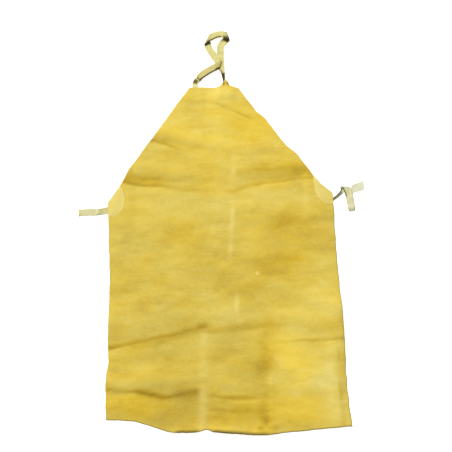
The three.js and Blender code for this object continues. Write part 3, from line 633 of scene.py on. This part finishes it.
def tape_point(lay, s, w_flat, off):
    runs = lay["runs"]
    here = next((r for r in runs if s <= r["s1"]), runs[-1])
    w = w_flat * mix(here["gather0"], here["gather1"], step((s - here["s0"]) / (here["s1"] - here["s0"])))
    last = -1
    for i, f in enumerate(lay["folds"]):
        if (s - f["s"]) * math.cos(f["skew"]) - w * math.sin(f["skew"]) > 0:
            last = i
    group = [r for r in runs if r["group"] == last + 1]
    run = next((r for r in group if s <= r["s1"]), group[-1])
    f = step((s - run["s0"]) / (run["s1"] - run["s0"]))
    fold = lay["folds"][last] if last >= 0 else None
    begin = 0.0
    if fold is not None and run["s0"] == fold["s"]:
        begin = w * math.tan(fold["skew"]) + fold["arc"] / math.cos(fold["skew"])
    lift = mix(run["lift0"], run["lift1"], step((s - run["s0"] - begin) / (run["s1"] - run["s0"] - begin)))
    u = (s - fold["s"]) * math.cos(fold["skew"]) - w * math.sin(fold["skew"]) if fold is not None else 0.0
    if fold is not None and u < fold["arc"]:
        v = (s - fold["s"]) * math.sin(fold["skew"]) + w * math.cos(fold["skew"])
        a = u / fold["r"]
        reach = fold["r"] - fold["side"] * off
        out = (fold["p"] + fold["f"] * v + fold["g"] * (reach * math.sin(a))
               + fold["up"] * (fold["side"] * (fold["r"] - reach * math.cos(a))))
        near = 1.0
    else:
        tuck = rad(mix(run["tuck0"], run["tuck1"], f))
        across, high = w, off
        q = w * lay["side"]
        if abs(tuck) > 0.01 and q > 0:
            lid, turn = np.sign(tuck), abs(tuck)
            a = min(q / TUCK_RADIUS, turn)
            rest = max(0.0, q - TUCK_RADIUS * turn)
            across = lay["side"] * (TUCK_RADIUS * math.sin(a) + rest * math.cos(turn) - lid * off * math.sin(a))
            high = lid * (TUCK_RADIUS * (1 - math.cos(a)) + rest * math.sin(turn)) + off * math.cos(a)
        inside = min(max(s - run["s0"], 0.0), run["s1"] - run["s0"])
        p, al, ac = on_run(run, inside)
        out = p + al * (s - run["s0"] - inside) + ac * across + run["up"] * high
        near = 0.0
        for k in lay["folds"]:
            g = (s - k["s"]) * math.cos(k["skew"]) - w * math.sin(k["skew"])
            gap = -g if g < 0 else max(0.0, g - k["arc"])
            near = max(near, math.exp(-(gap / 5.0) ** 2))
    return out + np.array([0, 0, lift]), near


def tape_stations(lay, pitch):
    knots = [(0.0, 0.0, False)]
    for f in lay["folds"]:
        slant = math.tan(f["skew"])
        knots += [(f["s"], slant, False), (f["s"] + f["arc"] / math.cos(f["skew"]), slant, True)]
    knots.append((lay["length"], lay["cut"], False))
    out = [knots[0][:2]]
    for (s0, k0, _), (s1, k1, bend) in zip(knots, knots[1:]):
        n = max(10, math.ceil((s1 - s0) / (pitch * 0.5))) if bend else math.ceil((s1 - s0) / pitch)
        out += [(mix(s0, s1, i / n), mix(k0, k1, i / n)) for i in range(1, n + 1)]
    return out


def make_tape(name, t, seed, pitch=1.3, across=18, fray=()):
    lay = lay_tape(t)
    shares = np.linspace(0.5, -0.5, across + 1)
    if t["side"]:
        extra = t["side"] * np.linspace(0.0, 0.12, 7)
        shares = np.array(sorted(set(np.round(np.concatenate([shares, extra]), 4)), reverse=True))
    stations = tape_stations(lay, pitch)
    rows, cols = len(stations), len(shares)
    low, high, mid = np.zeros((rows, cols, 3)), np.zeros((rows, cols, 3)), np.zeros((rows, cols, 3))
    strip, near, shade_and_tone = np.zeros((rows, cols, 3)), np.zeros((rows, cols)), np.zeros((rows, cols, 3))
    marks = [g for g in TAPE_SHADE_AND_TONE if name.startswith(g["tape"])]
    for i, (s, slant) in enumerate(stations):
        for j, share in enumerate(shares):
            w = share * t["width"]
            ss = s + w * slant
            # the woven edge wavers a little, and the middle is a shade thinner
            edge = 0.25 * float(noise(np.array(ss / 9), np.array(0.0), seed + int(share > 0))) * abs(share) * 2
            half = TAPE / 2 * (0.86 + 0.14 * abs(share * 2) ** 6)
            crumple = 0.16 * float(fbm(np.array(ss / 11), np.array(w / 8), seed + 5, 3))
            ww = w + edge * np.sign(share)
            low[i, j], near[i, j] = tape_point(lay, ss, ww, -half + crumple)
            high[i, j], _ = tape_point(lay, ss, ww, half + crumple)
            strip[i, j] = (ss * MM, w * MM, abs(share) * 2)
            # painted shadow and shade, olive darkening and paleness from the table, per vertex
            for g in marks:
                here = (step((ss - g["s0"]) / 6 + 0.5) * step((g["s1"] - ss) / 6 + 0.5)
                        * step((share * 2 - g["w0"]) / 0.22 + 0.5) * step((g["w1"] - share * 2) / 0.22 + 0.5))
                shade_and_tone[i, j] = np.maximum(shade_and_tone[i, j], np.array([g["dark"], g["olive"], g["pale"]]) * here)
    low[..., 2] = np.maximum(low[..., 2], 0.02)
    high[..., 2] = np.maximum(high[..., 2], 0.02)
    mid = 0.5 * (low + high)
    verts, faces, _ = closed_sheet(inset(low, 0.12), inset(high, 0.12), ring_of(mid))
    attrs = {"strip": np.concatenate([strip.reshape(-1, 3)] * 2 + [ring_of(strip)]),
             "near_fold": np.concatenate([near.reshape(-1)] * 2 + [ring_of(near)]),
             "shade_and_tone": np.concatenate([shade_and_tone.reshape(-1, 3)] * 2 + [ring_of(shade_and_tone)])}
    ob = make(name, verts, faces, attrs)
    return ob, lay


# ---------------------------------------------------------------- materials
class Look:
    """A material's node tree, with short ways to add nodes."""

    def __init__(self, name):
        self.mat = bpy.data.materials.new(name)
        self.mat.use_nodes = True
        self.nt = self.mat.node_tree
        self.nt.nodes.clear()
        self.out = self.nt.nodes.new("ShaderNodeOutputMaterial")
        self.bsdf = self.nt.nodes.new("ShaderNodeBsdfPrincipled")
        self.nt.links.new(self.bsdf.outputs["BSDF"], self.out.inputs["Surface"])
        self.at = self.nt.nodes.new("ShaderNodeTexCoord").outputs["Object"]

    def put(self, socket, value):
        if isinstance(value, bpy.types.NodeSocket):
            self.nt.links.new(value, socket)
        elif isinstance(value, (tuple, list)) and len(value) == 3 and socket.type == "RGBA":
            socket.default_value = (*value, 1.0)
        else:
            socket.default_value = value

    def set(self, **values):
        for key, value in values.items():
            self.put(self.bsdf.inputs[key.replace("_", " ")], value)

    def math(self, op, a, b=0.0, clamp=False):
        n = self.nt.nodes.new("ShaderNodeMath")
        n.operation, n.use_clamp = op, clamp
        self.put(n.inputs[0], a)
        self.put(n.inputs[1], b)
        return n.outputs[0]

    def add(self, *terms):
        total = terms[0]
        for t in terms[1:]:
            total = self.math("ADD", total, t)
        return total

    def times(self, a, b):
        return self.math("MULTIPLY", a, b)

    def stretch(self, vector, by):
        n = self.nt.nodes.new("ShaderNodeVectorMath")
        n.operation = "MULTIPLY"
        self.put(n.inputs[0], vector)
        n.inputs[1].default_value = by
        return n.outputs[0]

    def shift(self, a, b):
        n = self.nt.nodes.new("ShaderNodeVectorMath")
        n.operation = "ADD"
        self.put(n.inputs[0], a)
        self.put(n.inputs[1], b)
        return n.outputs[0]

    def noise(self, vector, scale, detail=3.0, rough=0.55, colour=False, distort=0.0):
        n = self.nt.nodes.new("ShaderNodeTexNoise")
        self.put(n.inputs["Vector"], vector)
        n.inputs["Scale"].default_value = scale
        n.inputs["Detail"].default_value = detail
        n.inputs["Roughness"].default_value = rough
        n.inputs["Distortion"].default_value = distort
        return n.outputs["Color" if colour else "Fac"]

    def around(self, value, amount, middle=0.5):
        """A noise value as a swing of that amount either way."""
        return self.times(self.math("SUBTRACT", value, middle), amount)

    def attribute(self, name, part=None):
        n = self.nt.nodes.new("ShaderNodeAttribute")
        n.attribute_type, n.attribute_name = "GEOMETRY", name
        if part is None:
            return n.outputs["Fac"]
        s = self.nt.nodes.new("ShaderNodeSeparateXYZ")
        self.put(s.inputs[0], n.outputs["Vector"])
        return s.outputs[part]

    def ramp(self, value, stops):
        n = self.nt.nodes.new("ShaderNodeValToRGB")
        e = n.color_ramp.elements
        while len(e) < len(stops):
            e.new(0.5)
        for k, (pos, colour) in enumerate(stops):
            e[k].position = pos
            e[k].color = (*colour, 1.0)
        self.put(n.inputs[0], value)
        return n.outputs["Color"]

    def blend(self, share, a, b, kind="MIX"):
        n = self.nt.nodes.new("ShaderNodeMix")
        n.data_type, n.blend_type, n.clamp_factor = "RGBA", kind, True
        self.put(n.inputs[0], share)
        self.put(n.inputs[6], a)
        self.put(n.inputs[7], b)
        return n.outputs[2]

    def bump(self, height, strength, distance, before=None):
        n = self.nt.nodes.new("ShaderNodeBump")
        n.inputs["Strength"].default_value = strength
        n.inputs["Distance"].default_value = distance
        self.put(n.inputs["Height"], height)
        if before is not None:
            self.put(n.inputs["Normal"], before)
        return n.outputs["Normal"]


def srgb(r, g, b):
    return tuple(((v / 255 + 0.055) / 1.055) ** 2.4 if v > 10 else v / 255 / 12.92 for v in (r, g, b))


def leather_look(name, chalky, golden, lift):
    """Napped split leather: chalky and golden dye that has taken unevenly, brushed nap,
    painted shade along the folds (with a few real stains), pale marks with a painted highlight, a painted shade line
    along the cut edge and a painted shadow line along the lifted hem."""
    k = Look(name)
    warp = k.shift(k.at, k.stretch(k.noise(k.at, 9.0, 2.0, colour=True), (0.05, 0.028, 0.0)))
    big = k.noise(k.stretch(warp, (6.0, 8.5, 6.0)), 1.0, 4.0, 0.58)
    big2 = k.noise(k.shift(k.stretch(warp, (6.5, 8.0, 6.5)), (7.3, 2.1, 4.4)), 1.0, 4.0, 0.62)
    mid = k.noise(k.stretch(warp, (13.0, 36.0, 22.0)), 1.0, 5.0, 0.6)
    mid2 = k.noise(k.shift(k.stretch(warp, (18.0, 46.0, 30.0)), (3.1, 8.2, 1.4)), 1.0, 4.0, 0.6)
    fine = k.noise(k.stretch(k.at, (120.0, 170.0, 120.0)), 1.0, 4.0, 0.65)
    nap = k.noise(k.stretch(k.at, (520.0, 900.0, 700.0)), 1.0, 3.0, 0.6, distort=0.6)
    light = k.add(k.times(k.attribute("hide", 0), 0.85), k.around(big, 0.62), k.around(mid, 0.56),
                  k.around(fine, 0.34), k.around(nap, 0.20), 0.5 + lift)
    # the painted fold shade (hide channel 2) also pushes the colour towards golden
    warm = k.add(k.times(k.attribute("hide", 1), 0.95), k.around(big2, 1.30), k.around(mid2, 0.95),
                 k.around(fine, 0.40), k.times(k.attribute("hide", 2), 0.6), 0.48)
    warm = k.math("ADD", warm, 0.0, clamp=True)
    stops = (0.12, 0.5, 0.9)
    colour = k.blend(warm, k.ramp(light, list(zip(stops, chalky))), k.ramp(light, list(zip(stops, golden))))
    # painted shade along the folds, with the hem stains in the same channel, multiplied in
    fold = k.times(k.attribute("hide", 2), k.add(k.around(mid2, 0.7), 0.72))
    colour = k.blend(fold, colour, (0.38, 0.31, 0.02), "MULTIPLY")
    # pale marks: a painted highlight on the pinch ridge's lit side, pale streaks, seam lines and a dot
    rub = k.times(k.attribute("rub", 0), k.math("ADD", k.around(mid, 1.4), 0.9, clamp=True))
    colour = k.blend(rub, colour, srgb(238, 222, 136))
    # painted shade line along the cut edge
    rim = k.times(k.attribute("rub", 1), k.math("ADD", k.around(mid, 1.6), 0.62, clamp=True))
    colour = k.blend(rim, colour, srgb(150, 134, 80))
    # painted shadow under the lifted hem and in the pockets at the strap's leather tip
    hem = k.times(k.attribute("rub", 2), k.math("ADD", k.around(mid, 0.8), 0.9, clamp=True))
    colour = k.blend(hem, colour, srgb(74, 56, 14))
    rough = k.math("ADD", k.add(k.around(fine, 0.16), k.around(nap, 0.10)), 0.90, clamp=True)
    k.set(Base_Color=colour, Roughness=rough, Specular_IOR_Level=0.18, Sheen_Weight=0.18, Sheen_Roughness=0.55,
          Sheen_Tint=(1.0, 0.94, 0.66))
    n1 = k.bump(fine, 0.16, 0.0010)
    n2 = k.bump(nap, 0.24, 0.0004, n1)
    k.set(Normal=n2)
    return k.mat


def tape_look(name, stops, shade_and_tone):
    """Woven cotton tape: herringbone ribs, uneven tone, painted shade near its folds, and the painted shadows, olive
    darkening and paleness from its attribute.
    """
    k = Look(name)
    s, w, edge = (k.attribute("strip", i) for i in range(3))
    lane = k.math("ABSOLUTE", k.math("SUBTRACT", k.math("FRACT", k.math("ADD", k.times(w, 200.0), 40.5)), 0.5))
    rib = k.math("SINE", k.times(k.add(s, k.times(lane, 0.005)), 2 * math.pi / 0.00125))
    thread = k.math("SINE", k.times(w, 2 * math.pi / 0.0008))
    weave = k.add(k.times(rib, 0.6), k.times(thread, 0.4))
    flat = k.nt.nodes.new("ShaderNodeCombineXYZ")
    k.put(flat.inputs[0], s)
    k.put(flat.inputs[1], w)
    along = k.stretch(flat.outputs[0], (60.0, 160.0, 1.0))
    soft = k.noise(along, 1.0, 4.0, 0.6)
    fuzz = k.noise(k.stretch(k.at, (900.0, 900.0, 900.0)), 1.0, 2.0, 0.6)
    light = k.add(k.around(soft, 0.9), k.around(fuzz, 0.25), k.times(weave, 0.055), 0.56)
    colour = k.ramp(light, list(zip((0.1, 0.5, 0.92), stops)))
    # painted shade near the folds, blended towards the shade colour
    fold_shade = k.times(k.attribute("near_fold"), k.math("ADD", k.around(soft, 1.2), 0.26, clamp=True))
    colour = k.blend(fold_shade, colour, shade_and_tone)
    uneven = k.math("ADD", k.around(soft, 0.9), 0.85, clamp=True)
    # paler colour from the table
    colour = k.blend(k.times(k.attribute("shade_and_tone", 2), uneven), colour, srgb(218, 219, 190))
    # olive darkening from the table: painted shade at folds and crossings, plain olive tone elsewhere
    colour = k.blend(k.times(k.attribute("shade_and_tone", 1), uneven), colour, srgb(178, 164, 84))
    # painted shadows and shade from the table, blended towards the shade colour
    black = k.math("ADD", k.around(soft, 0.6), 1.0, clamp=True)
    colour = k.blend(k.times(k.attribute("shade_and_tone", 0), black), colour, shade_and_tone)
    rough = k.math("ADD", k.add(k.around(soft, 0.20), k.around(fuzz, 0.08)), 0.88, clamp=True)
    k.set(Base_Color=colour, Roughness=rough, Specular_IOR_Level=0.2, Sheen_Weight=0.22, Sheen_Roughness=0.5)
    n1 = k.bump(weave, 0.30, 0.00022)
    n2 = k.bump(fuzz, 0.25, 0.0002, n1)
    k.set(Normal=n2)
    return k.mat


def thread_look():
    k = Look("sewing_thread")
    twist = k.noise(k.stretch(k.at, (1500.0, 1500.0, 1500.0)), 1.0, 2.0)
    k.set(Base_Color=k.ramp(twist, [(0.25, srgb(206, 184, 104)), (0.75, srgb(240, 226, 158))]),
          Roughness=k.math("ADD", k.around(twist, 0.24), 0.70, clamp=True),
          Specular_IOR_Level=0.3, Normal=k.bump(twist, 0.3, 0.0002))
    return k.mat


CHALKY = [srgb(172, 150, 58), srgb(203, 183, 88), srgb(224, 208, 122)]
GOLDEN = [srgb(176, 142, 30), srgb(208, 176, 50), srgb(228, 200, 76)]
HIDE = leather_look("split_leather", CHALKY, GOLDEN, 0.0)
PATCH_HIDE = leather_look("patch_leather", [srgb(188, 170, 82), srgb(212, 195, 108), srgb(228, 215, 138)],
                          [srgb(190, 164, 62), srgb(214, 190, 86), srgb(230, 208, 112)], 0.08)
# the last colour of each tape is the colour of its painted shade and shadows
STRAP_CLOTH = tape_look("strap_cotton", [srgb(176, 164, 96), srgb(204, 194, 124), srgb(222, 213, 148)], srgb(70, 56, 6))
TIE_CLOTH = tape_look("tie_cotton", [srgb(188, 184, 132), srgb(212, 209, 162), srgb(226, 225, 188)], srgb(92, 86, 44))
THREAD = thread_look()


# ---------------------------------------------------------------- the hide
def hide_marks(x, y):
    """Tone of the hide at a place: light, warm, painted fold shade (with a few stains) and pale marks (partly a painted
    highlight).
    """
    light, warm = np.zeros_like(x), np.zeros_like(x)
    wx = x + 16 * fbm(x / 60, y / 40, 501, 3)
    wy = y + 12 * fbm(x / 60, y / 40, 502, 3)
    for t in TONES:
        g = np.exp(-((wx - t["x"]) / t["rx"]) ** 2 - ((wy - t["y"]) / t["ry"]) ** 2)
        light += t["light"] * g
        warm += t["warm"] * g
    # painted shade along the folds
    fold = np.zeros_like(x)
    for t in STROKES:
        ends = (t["x0"], t["x1"], t["x2"])
        xc = np.clip(x, t["x0"], t["x2"])
        line = parabola(xc, t["x0"], t["y0"], t["x1"], t["y1"], t["x2"], t["y2"])
        d = y - line + 2.4 * noise(x / 34, x * 0 + t["y1"], 401) + 1.0 * noise(x / 11, x * 0 + t["y1"], 402)
        reach = np.where(d > 0, t["above"], t["below"]) * (1 + 0.35 * noise(x / 40, x * 0 + t["y0"], 403))
        beyond = np.abs(x - xc) / 14.0
        strength = np.interp(xc, ends, (t["a0"], t["a1"], t["a2"])) * (1 + 0.3 * noise(x / 25, x * 0 + t["y2"], 404))
        here = np.clip(strength, 0, 1) * np.exp(-(d / reach) ** 2 - beyond ** 2)
        fold = fold + here - fold * here
    # pale streaks; the one along the pinch ridge is a painted highlight
    rub = np.zeros_like(x)
    for s in STREAKS:
        line = parabola(np.clip(y, s["y2"], s["y0"]), s["y0"], s["x0"], s["y1"], s["x1"], s["y2"], s["x2"])
        along = window1(y, s["y2"], s["y0"], 30)
        broken = np.clip(0.75 + 0.7 * noise(y / 38, y * 0 + s["x0"], 512), 0, 1)
        rub = np.maximum(rub, s["amount"] * along * broken
                         * np.exp(-((x - line + 3.0 * noise(y / 40, y * 0, 511)) / s["half"]) ** 2))
    # painted shade where the edge rolls away from the light
    for s in EDGE_LINES:
        line = parabola(np.clip(y, s["y2"], s["y0"]), s["y0"], s["x0"], s["y1"], s["x1"], s["y2"], s["x2"])
        along = window1(y, s["y2"], s["y0"], 60)
        broken = np.clip(0.7 + 0.7 * noise(y / 30, y * 0 + s["x0"], 513), 0, 1)
        fold = np.maximum(fold, s["amount"] * along * broken
                          * np.exp(-((x - line + 2.0 * noise(y / 26, y * 0, 514)) / s["half"]) ** 2))
    # painted shadow in the strap-tip pockets, painted shade in the olive block, real stains at the hem, a pale dot
    for t in SPOTS:
        g = np.exp(-((x - t["x"]) / t["rx"]) ** 2 - ((y - t["y"]) / t["ry"]) ** 2)
        fold = np.maximum(fold, t["dark"] * g)
        rub = np.maximum(rub, t["rub"] * g)
    return light, warm, fold, rub


def make_panel():
    columns = 160
    v = [0.0]
    for i in range(V_TOP):
        n = math.ceil((SECTIONS[i + 1]["ly"] - SECTIONS[i]["ly"]) / 3.7)
        v += [i + k / n for k in range(1, n + 1)]
    u, v = np.meshgrid(np.linspace(0, 1, columns + 1), np.array(v))
    x, y = plan(u, v)
    low, high = off_leather(x, y, 0.0), off_leather(x, y, LEATHER)
    low[..., 2] = np.maximum(low[..., 2], 0.02)
    mid = ring_of(0.5 * (low + high))
    verts, faces, ring = closed_sheet(inset(low, 0.3), inset(high, 0.3), mid)
    light, warm, fold, rub = hide_marks(x, y)
    # painted shade line along the cut edge
    rim = np.zeros_like(x)
    rim[0], rim[-1], rim[:, 0], rim[:, -1] = 0.75, 0.75, 0.75, 0.75
    # painted shadow along the lifted parts of the hem, and in the two pockets at the strap's leather tip
    lifted = np.maximum(window1(x, -110, -56, 16), window1(x, -22, 114, 24))
    hem = np.zeros_like(x)
    hem[0], hem[1] = 1.0 * lifted[0], 0.55 * lifted[1]
    for t in SPOTS[:2]:
        hem = np.maximum(hem, 0.8 * np.exp(-((x - t["x"]) / t["rx"]) ** 2 - ((y - t["y"]) / t["ry"]) ** 2))
    hide = np.stack([light, warm, fold], -1)
    under = np.stack([light * 0.5 - 0.06, warm * 0.5 - 0.2, fold * 0.3], -1)
    marks = np.stack([rub, rim, hem], -1)
    attrs = {"hide": np.concatenate([under.reshape(-1, 3), hide.reshape(-1, 3), ring_of(hide)]),
             "rub": np.concatenate([(marks * 0.5).reshape(-1, 3), marks.reshape(-1, 3), ring_of(marks)])}
    ob = make("leather_panel_hide", verts, faces, attrs)
    ob.data.materials.append(HIDE)
    sides = np.stack([x, y, x * 0], -1)
    quads = np.stack([sides[:-1, :-1], sides[1:, :-1], sides[1:, 1:], sides[:-1, 1:]], -2)
    flat = float(np.linalg.norm(np.cross(quads[..., 2, :] - quads[..., 0, :], quads[..., 3, :] - quads[..., 1, :]), axis=-1).sum() / 2)
    return ob, flat


def seam_of(p, t):
    s = 1 - t
    return (p["x0"] * s ** 3 + 3 * p["ax"] * t * s * s + 3 * p["bx"] * t * t * s + p["x1"] * t ** 3,
            p["y0"] * s ** 3 + 3 * p["ay"] * t * s * s + 3 * p["by"] * t * t * s + p["y1"] * t ** 3)


def patch_plan(p, along, inward):
    """Plan grid of a corner patch: from the panel's edge to the curved seam."""
    corner = SECTIONS[WAIST][p["side"] + "y"]
    way = 1 if p["side"] == "l" else -1
    y = np.where(along <= 0.5, mix(p["y0"], corner, along * 2), mix(corner, p["y1"], along * 2 - 1))
    ox = edge_x(p["side"], y) + way * PATCH_INSET
    sx, sy = seam_of(p, along)
    ends = np.abs(along - 0.5) * 2
    sx = sx + way * 3 * smooth((ends - 0.50) / 0.50)
    return mix(ox, sx, inward), mix(y, sy, inward)


def make_patch(p):
    rows, cols = 84, 36
    along, inward = np.meshgrid(np.linspace(1, 0, rows + 1), np.linspace(0, 1, cols + 1), indexing="ij")
    x, y = patch_plan(p, along, inward)
    if p["side"] == "r":
        x, y = x[:, ::-1], y[:, ::-1]
        inward = inward[:, ::-1]
    # the patch is pressed down along its stitching
    dent = 0.22 * np.exp(-((inward - 0.93) / 0.03) ** 2)
    base = LEATHER + PATCH_GAP
    # and pared thin towards the seam and at its two ends
    ends = np.abs(along - 0.5) * 2
    thin = np.maximum(smooth((inward - 0.40) / 0.60), smooth((ends - 0.80) / 0.18))
    under = base - (PATCH_GAP - 0.06) * thin
    low = off_leather(x, y, under)
    top = base + PATCH - dent - 1.22 * thin + 0.08 * (1 - thin) * fbm(x / 7, y / 7, 521, 2)
    top = np.maximum(top, under + 0.12)
    high = off_leather(x, y, top)
    mid = ring_of(0.5 * (low + high))
    verts, faces, _ = closed_sheet(inset(low, 0.25), inset(high, 0.35), mid)
    light, warm, fold, rub = hide_marks(x, y)
    # painted shade line along the patch's cut edge
    rim = np.zeros_like(x)
    outer = -1 if p["side"] == "r" else 0
    rim[:, outer] = 0.6
    seam = np.exp(-((inward - 0.93) / 0.05) ** 2)
    hide = np.stack([light * 0.6, warm * 0.6, 0.08 * seam], -1)
    marks = np.stack([0.5 * seam, rim, rim * 0], -1)
    attrs = {"hide": np.concatenate([hide.reshape(-1, 3)] * 2 + [ring_of(hide)]),
             "rub": np.concatenate([marks.reshape(-1, 3)] * 2 + [ring_of(marks)])}
    ob = make(p["name"] + "_hide", verts, faces, attrs, flat_rim=2 * len(mid))
    ob.data.materials.append(PATCH_HIDE)
    sides = np.stack([x, y, x * 0], -1)
    quads = np.stack([sides[:-1, :-1], sides[1:, :-1], sides[1:, 1:], sides[:-1, 1:]], -2)
    flat = float(np.linalg.norm(np.cross(quads[..., 2, :] - quads[..., 0, :], quads[..., 3, :] - quads[..., 1, :]), axis=-1).sum() / 2)
    return ob, flat, np.stack([x, y, top], -1).reshape(-1, 3)


# ---------------------------------------------------------------- stitches
def stitch_mesh(points, pitch=5.0, length=3.7, radius=0.42):
    """Thread along a line of points (n, 3) on a surface: one sunk, rounded stitch per pitch."""
    points = np.asarray(points, float)
    seg = np.linalg.norm(np.diff(points, axis=0), axis=1)
    at = np.concatenate([[0], np.cumsum(seg)])
    count = max(1, int(at[-1] / pitch))
    verts, faces = [], []
    rings, around = 7, 8
    for k in range(count):
        s0 = (k + 0.5) * at[-1] / count - length / 2
        base = len(verts)
        spine = [np.array([np.interp(s0 + length * i / (rings - 1), at, points[:, a]) for a in range(3)]) for i in range(rings)]
        tangent = spine[-1] - spine[0]
        tangent = tangent / np.linalg.norm(tangent)
        side = np.cross([0, 0, 1.0], tangent)
        side = side / np.linalg.norm(side)
        up = np.cross(tangent, side)
        for i, c in enumerate(spine):
            t = i / (rings - 1) * 2 - 1
            r = radius * math.sqrt(max(0.02, 1 - abs(t) ** 3.2))
            lift = radius * (0.55 - 1.25 * t ** 4)
            for j in range(around):
                a = 2 * math.pi * j / around
                verts.append(c + side * (r * math.cos(a)) + up * (lift + 0.8 * r * math.sin(a)))
        for i in range(rings - 1):
            for j in range(around):
                a, b = base + i * around + j, base + i * around + (j + 1) % around
                faces.append((a, b, b + around, a + around))
        for ring, order in ((0, -1), (rings - 1, 1)):
            q = [base + ring * around + j for j in range(around)][::order]
            for i in range(1, around - 2, 2):
                faces.append((q[0], q[i], q[i + 1], q[i + 2]))
    return np.array(verts), np.array(faces)


def make_stitches(name, lines, **kw):
    verts, faces, start = [], [], 0
    for line in lines:
        v, f = stitch_mesh(line, **kw)
        verts.append(v)
        faces.append(f + start)
        start += len(v)
    ob = make(name, np.concatenate(verts), np.concatenate(faces))
    ob.data.materials.append(THREAD)
    return ob


def on_hide(pts, off):
    pts = np.asarray(pts, float)
    return off_leather(pts[:, 0], pts[:, 1], off)


def on_patch(pts, patch):
    """Points on a patch's top, from the nearest places of its own grid."""
    pts = np.asarray(pts, float)
    gap = np.hypot(pts[:, :1] - patch[None, :, 0], pts[:, 1:2] - patch[None, :, 1])
    near = np.argsort(gap, axis=1)[:, :4]
    weight = 1 / (np.take_along_axis(gap, near, 1) + 0.2)
    off = (patch[near, 2] * weight).sum(1) / weight.sum(1)
    return off_leather(pts[:, 0], pts[:, 1], off)


def dense(pts, pitch=2.0):
    pts = np.asarray(pts, float)
    out = []
    for a, b in zip(pts, pts[1:]):
        n = max(2, int(np.linalg.norm(b - a) / pitch))
        out += [a + (b - a) * i / n for i in range(n)]
    return np.array(out + [pts[-1]])


def turned(cx, cy, angle, corners):
    c, s = math.cos(rad(angle)), math.sin(rad(angle))
    return [(cx + x * c - y * s, cy + x * s + y * c) for x, y in corners]


# ---------------------------------------------------------------- build
panel, panel_flat = make_panel()
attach(panel, "root")
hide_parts("leather_panel")

TOPS = {}
for p in PATCHES:
    ob, flat, TOPS[p["side"]] = make_patch(p)
    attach(ob, "root")
    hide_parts(p["name"])
    lines = []
    # two rows along the seam and one along the cut edge, ending short of the corners
    for share, margin in ((0.93, 0.08), (0.80, 0.15), (0.07, 0.09)):
        t = np.linspace(margin, 1 - margin, 60)
        x, y = patch_plan(p, t, np.full_like(t, share))
        lines.append(on_patch(np.stack([x, y], -1), TOPS[p["side"]]))
    sewn = make_stitches(p["name"] + "_stitches", lines)
    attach(sewn, "root")

TAPES = [
    ("neck_strap", "neck_strap_tape", NECK_STRAP, STRAP_CLOTH, "strap_tape", 601),
    ("waist_tie_left", "waist_tie_left_tape", WAIST_TIE_LEFT, TIE_CLOTH, "tie_tape", 621),
    ("waist_tie_right", "waist_tie_right_tape", WAIST_TIE_RIGHT, TIE_CLOTH, "tie_tape", 641),
]
for node, name, rows, cloth, slot, seed in TAPES:
    ob, lay = make_tape(name, rows, seed)
    ob.data.materials.append(cloth)
    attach(ob, "root")
    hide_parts(node)

box = [(-7, -11), (7, -11), (7, 11), (-7, 11), (-7, -11)]
sewing = {
    "strap_end_left_stitches": [on_hide(dense(turned(-73.5, 360, 0, box)), LEATHER)],
    "strap_end_right_stitches": [on_hide(dense(turned(8, 376, 8, [(-4, -10), (4, -10), (4, 10), (-4, 10), (-4, -10)])), LEATHER)],
    "tie_end_left_stitches": [on_patch(dense(turned(-286, 25, 8, [(-9, -6), (9, -6), (9, 6), (-9, 6), (-9, -6)])), TOPS["l"])],
    "tie_end_right_stitches": [on_patch(dense(turned(284.5, 49, 41, [(-6, -4), (6, -4), (6, 4), (-6, 4), (-6, -4)])), TOPS["r"])],
}
for name, lines in sewing.items():
    ob = make_stitches(name, lines, pitch=3.6, length=2.8, radius=0.36)
    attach(ob, "root")

# ---------------------------------------------------------------- floor, light, camera
AIM = np.array([11.975, -20.318, 0.0]) - CENTRE

floor_mesh = bpy.data.meshes.new("floor")
floor_mesh.from_pydata([(-400, -400, 0), (400, -400, 0), (400, 400, 0), (-400, 400, 0)], [], [(0, 1, 2, 3)])
floor = bpy.data.objects.new("floor", floor_mesh)
bpy.context.scene.collection.objects.link(floor)
pale = bpy.data.materials.new("pale_floor")
pale.use_nodes = True
pale.node_tree.nodes["Principled BSDF"].inputs["Base Color"].default_value = (0.92, 0.92, 0.92, 1)
pale.node_tree.nodes["Principled BSDF"].inputs["Emission Color"].default_value = (1, 1, 1, 1)
pale.node_tree.nodes["Principled BSDF"].inputs["Emission Strength"].default_value = 0.6
pale.node_tree.nodes["Principled BSDF"].inputs["Roughness"].default_value = 0.9
pale.node_tree.nodes["Principled BSDF"].inputs["Specular IOR Level"].default_value = 0.1
floor_mesh.materials.append(pale)

scene = bpy.context.scene
world = bpy.data.worlds.new("studio")
scene.world = world
world.use_nodes = True
world.node_tree.nodes["Background"].inputs["Color"].default_value = (1.0, 1.0, 1.0, 1.0)
world.node_tree.nodes["Background"].inputs["Strength"].default_value = 0.50


def area_light(name, towards, distance, size, power, colour=(1, 1, 1)):
    data = bpy.data.lights.new(name, "AREA")
    data.shape, data.size, data.energy, data.color = "SQUARE", size, power, colour
    ob = bpy.data.objects.new(name, data)
    scene.collection.objects.link(ob)
    d = np.array(towards, float)
    d = d / np.linalg.norm(d)
    ob.location = d * distance
    from mathutils import Vector
    ob.rotation_euler = Vector(tuple(-d)).to_track_quat("-Z", "Y").to_euler()
    return ob


area_light("key", (-0.42, 0.78, 0.60), 10.0, 3.0, 1250.0)

cam = bpy.data.cameras.new("camera")
cam.sensor_fit = "HORIZONTAL"
cam.angle = math.radians(38.6)
camera = bpy.data.objects.new("camera", cam)
scene.collection.objects.link(camera)
TILT, DISTANCE = math.radians(14.0), 1.7
camera.location = (AIM[0] * MM, AIM[1] * MM - math.sin(TILT) * DISTANCE, math.cos(TILT) * DISTANCE)
camera.rotation_euler = (TILT, 0.0, 0.0)
scene.camera = camera
scene.view_settings.view_transform = "Standard"
scene.view_settings.look = "None"

bpy.context.view_layer.update()
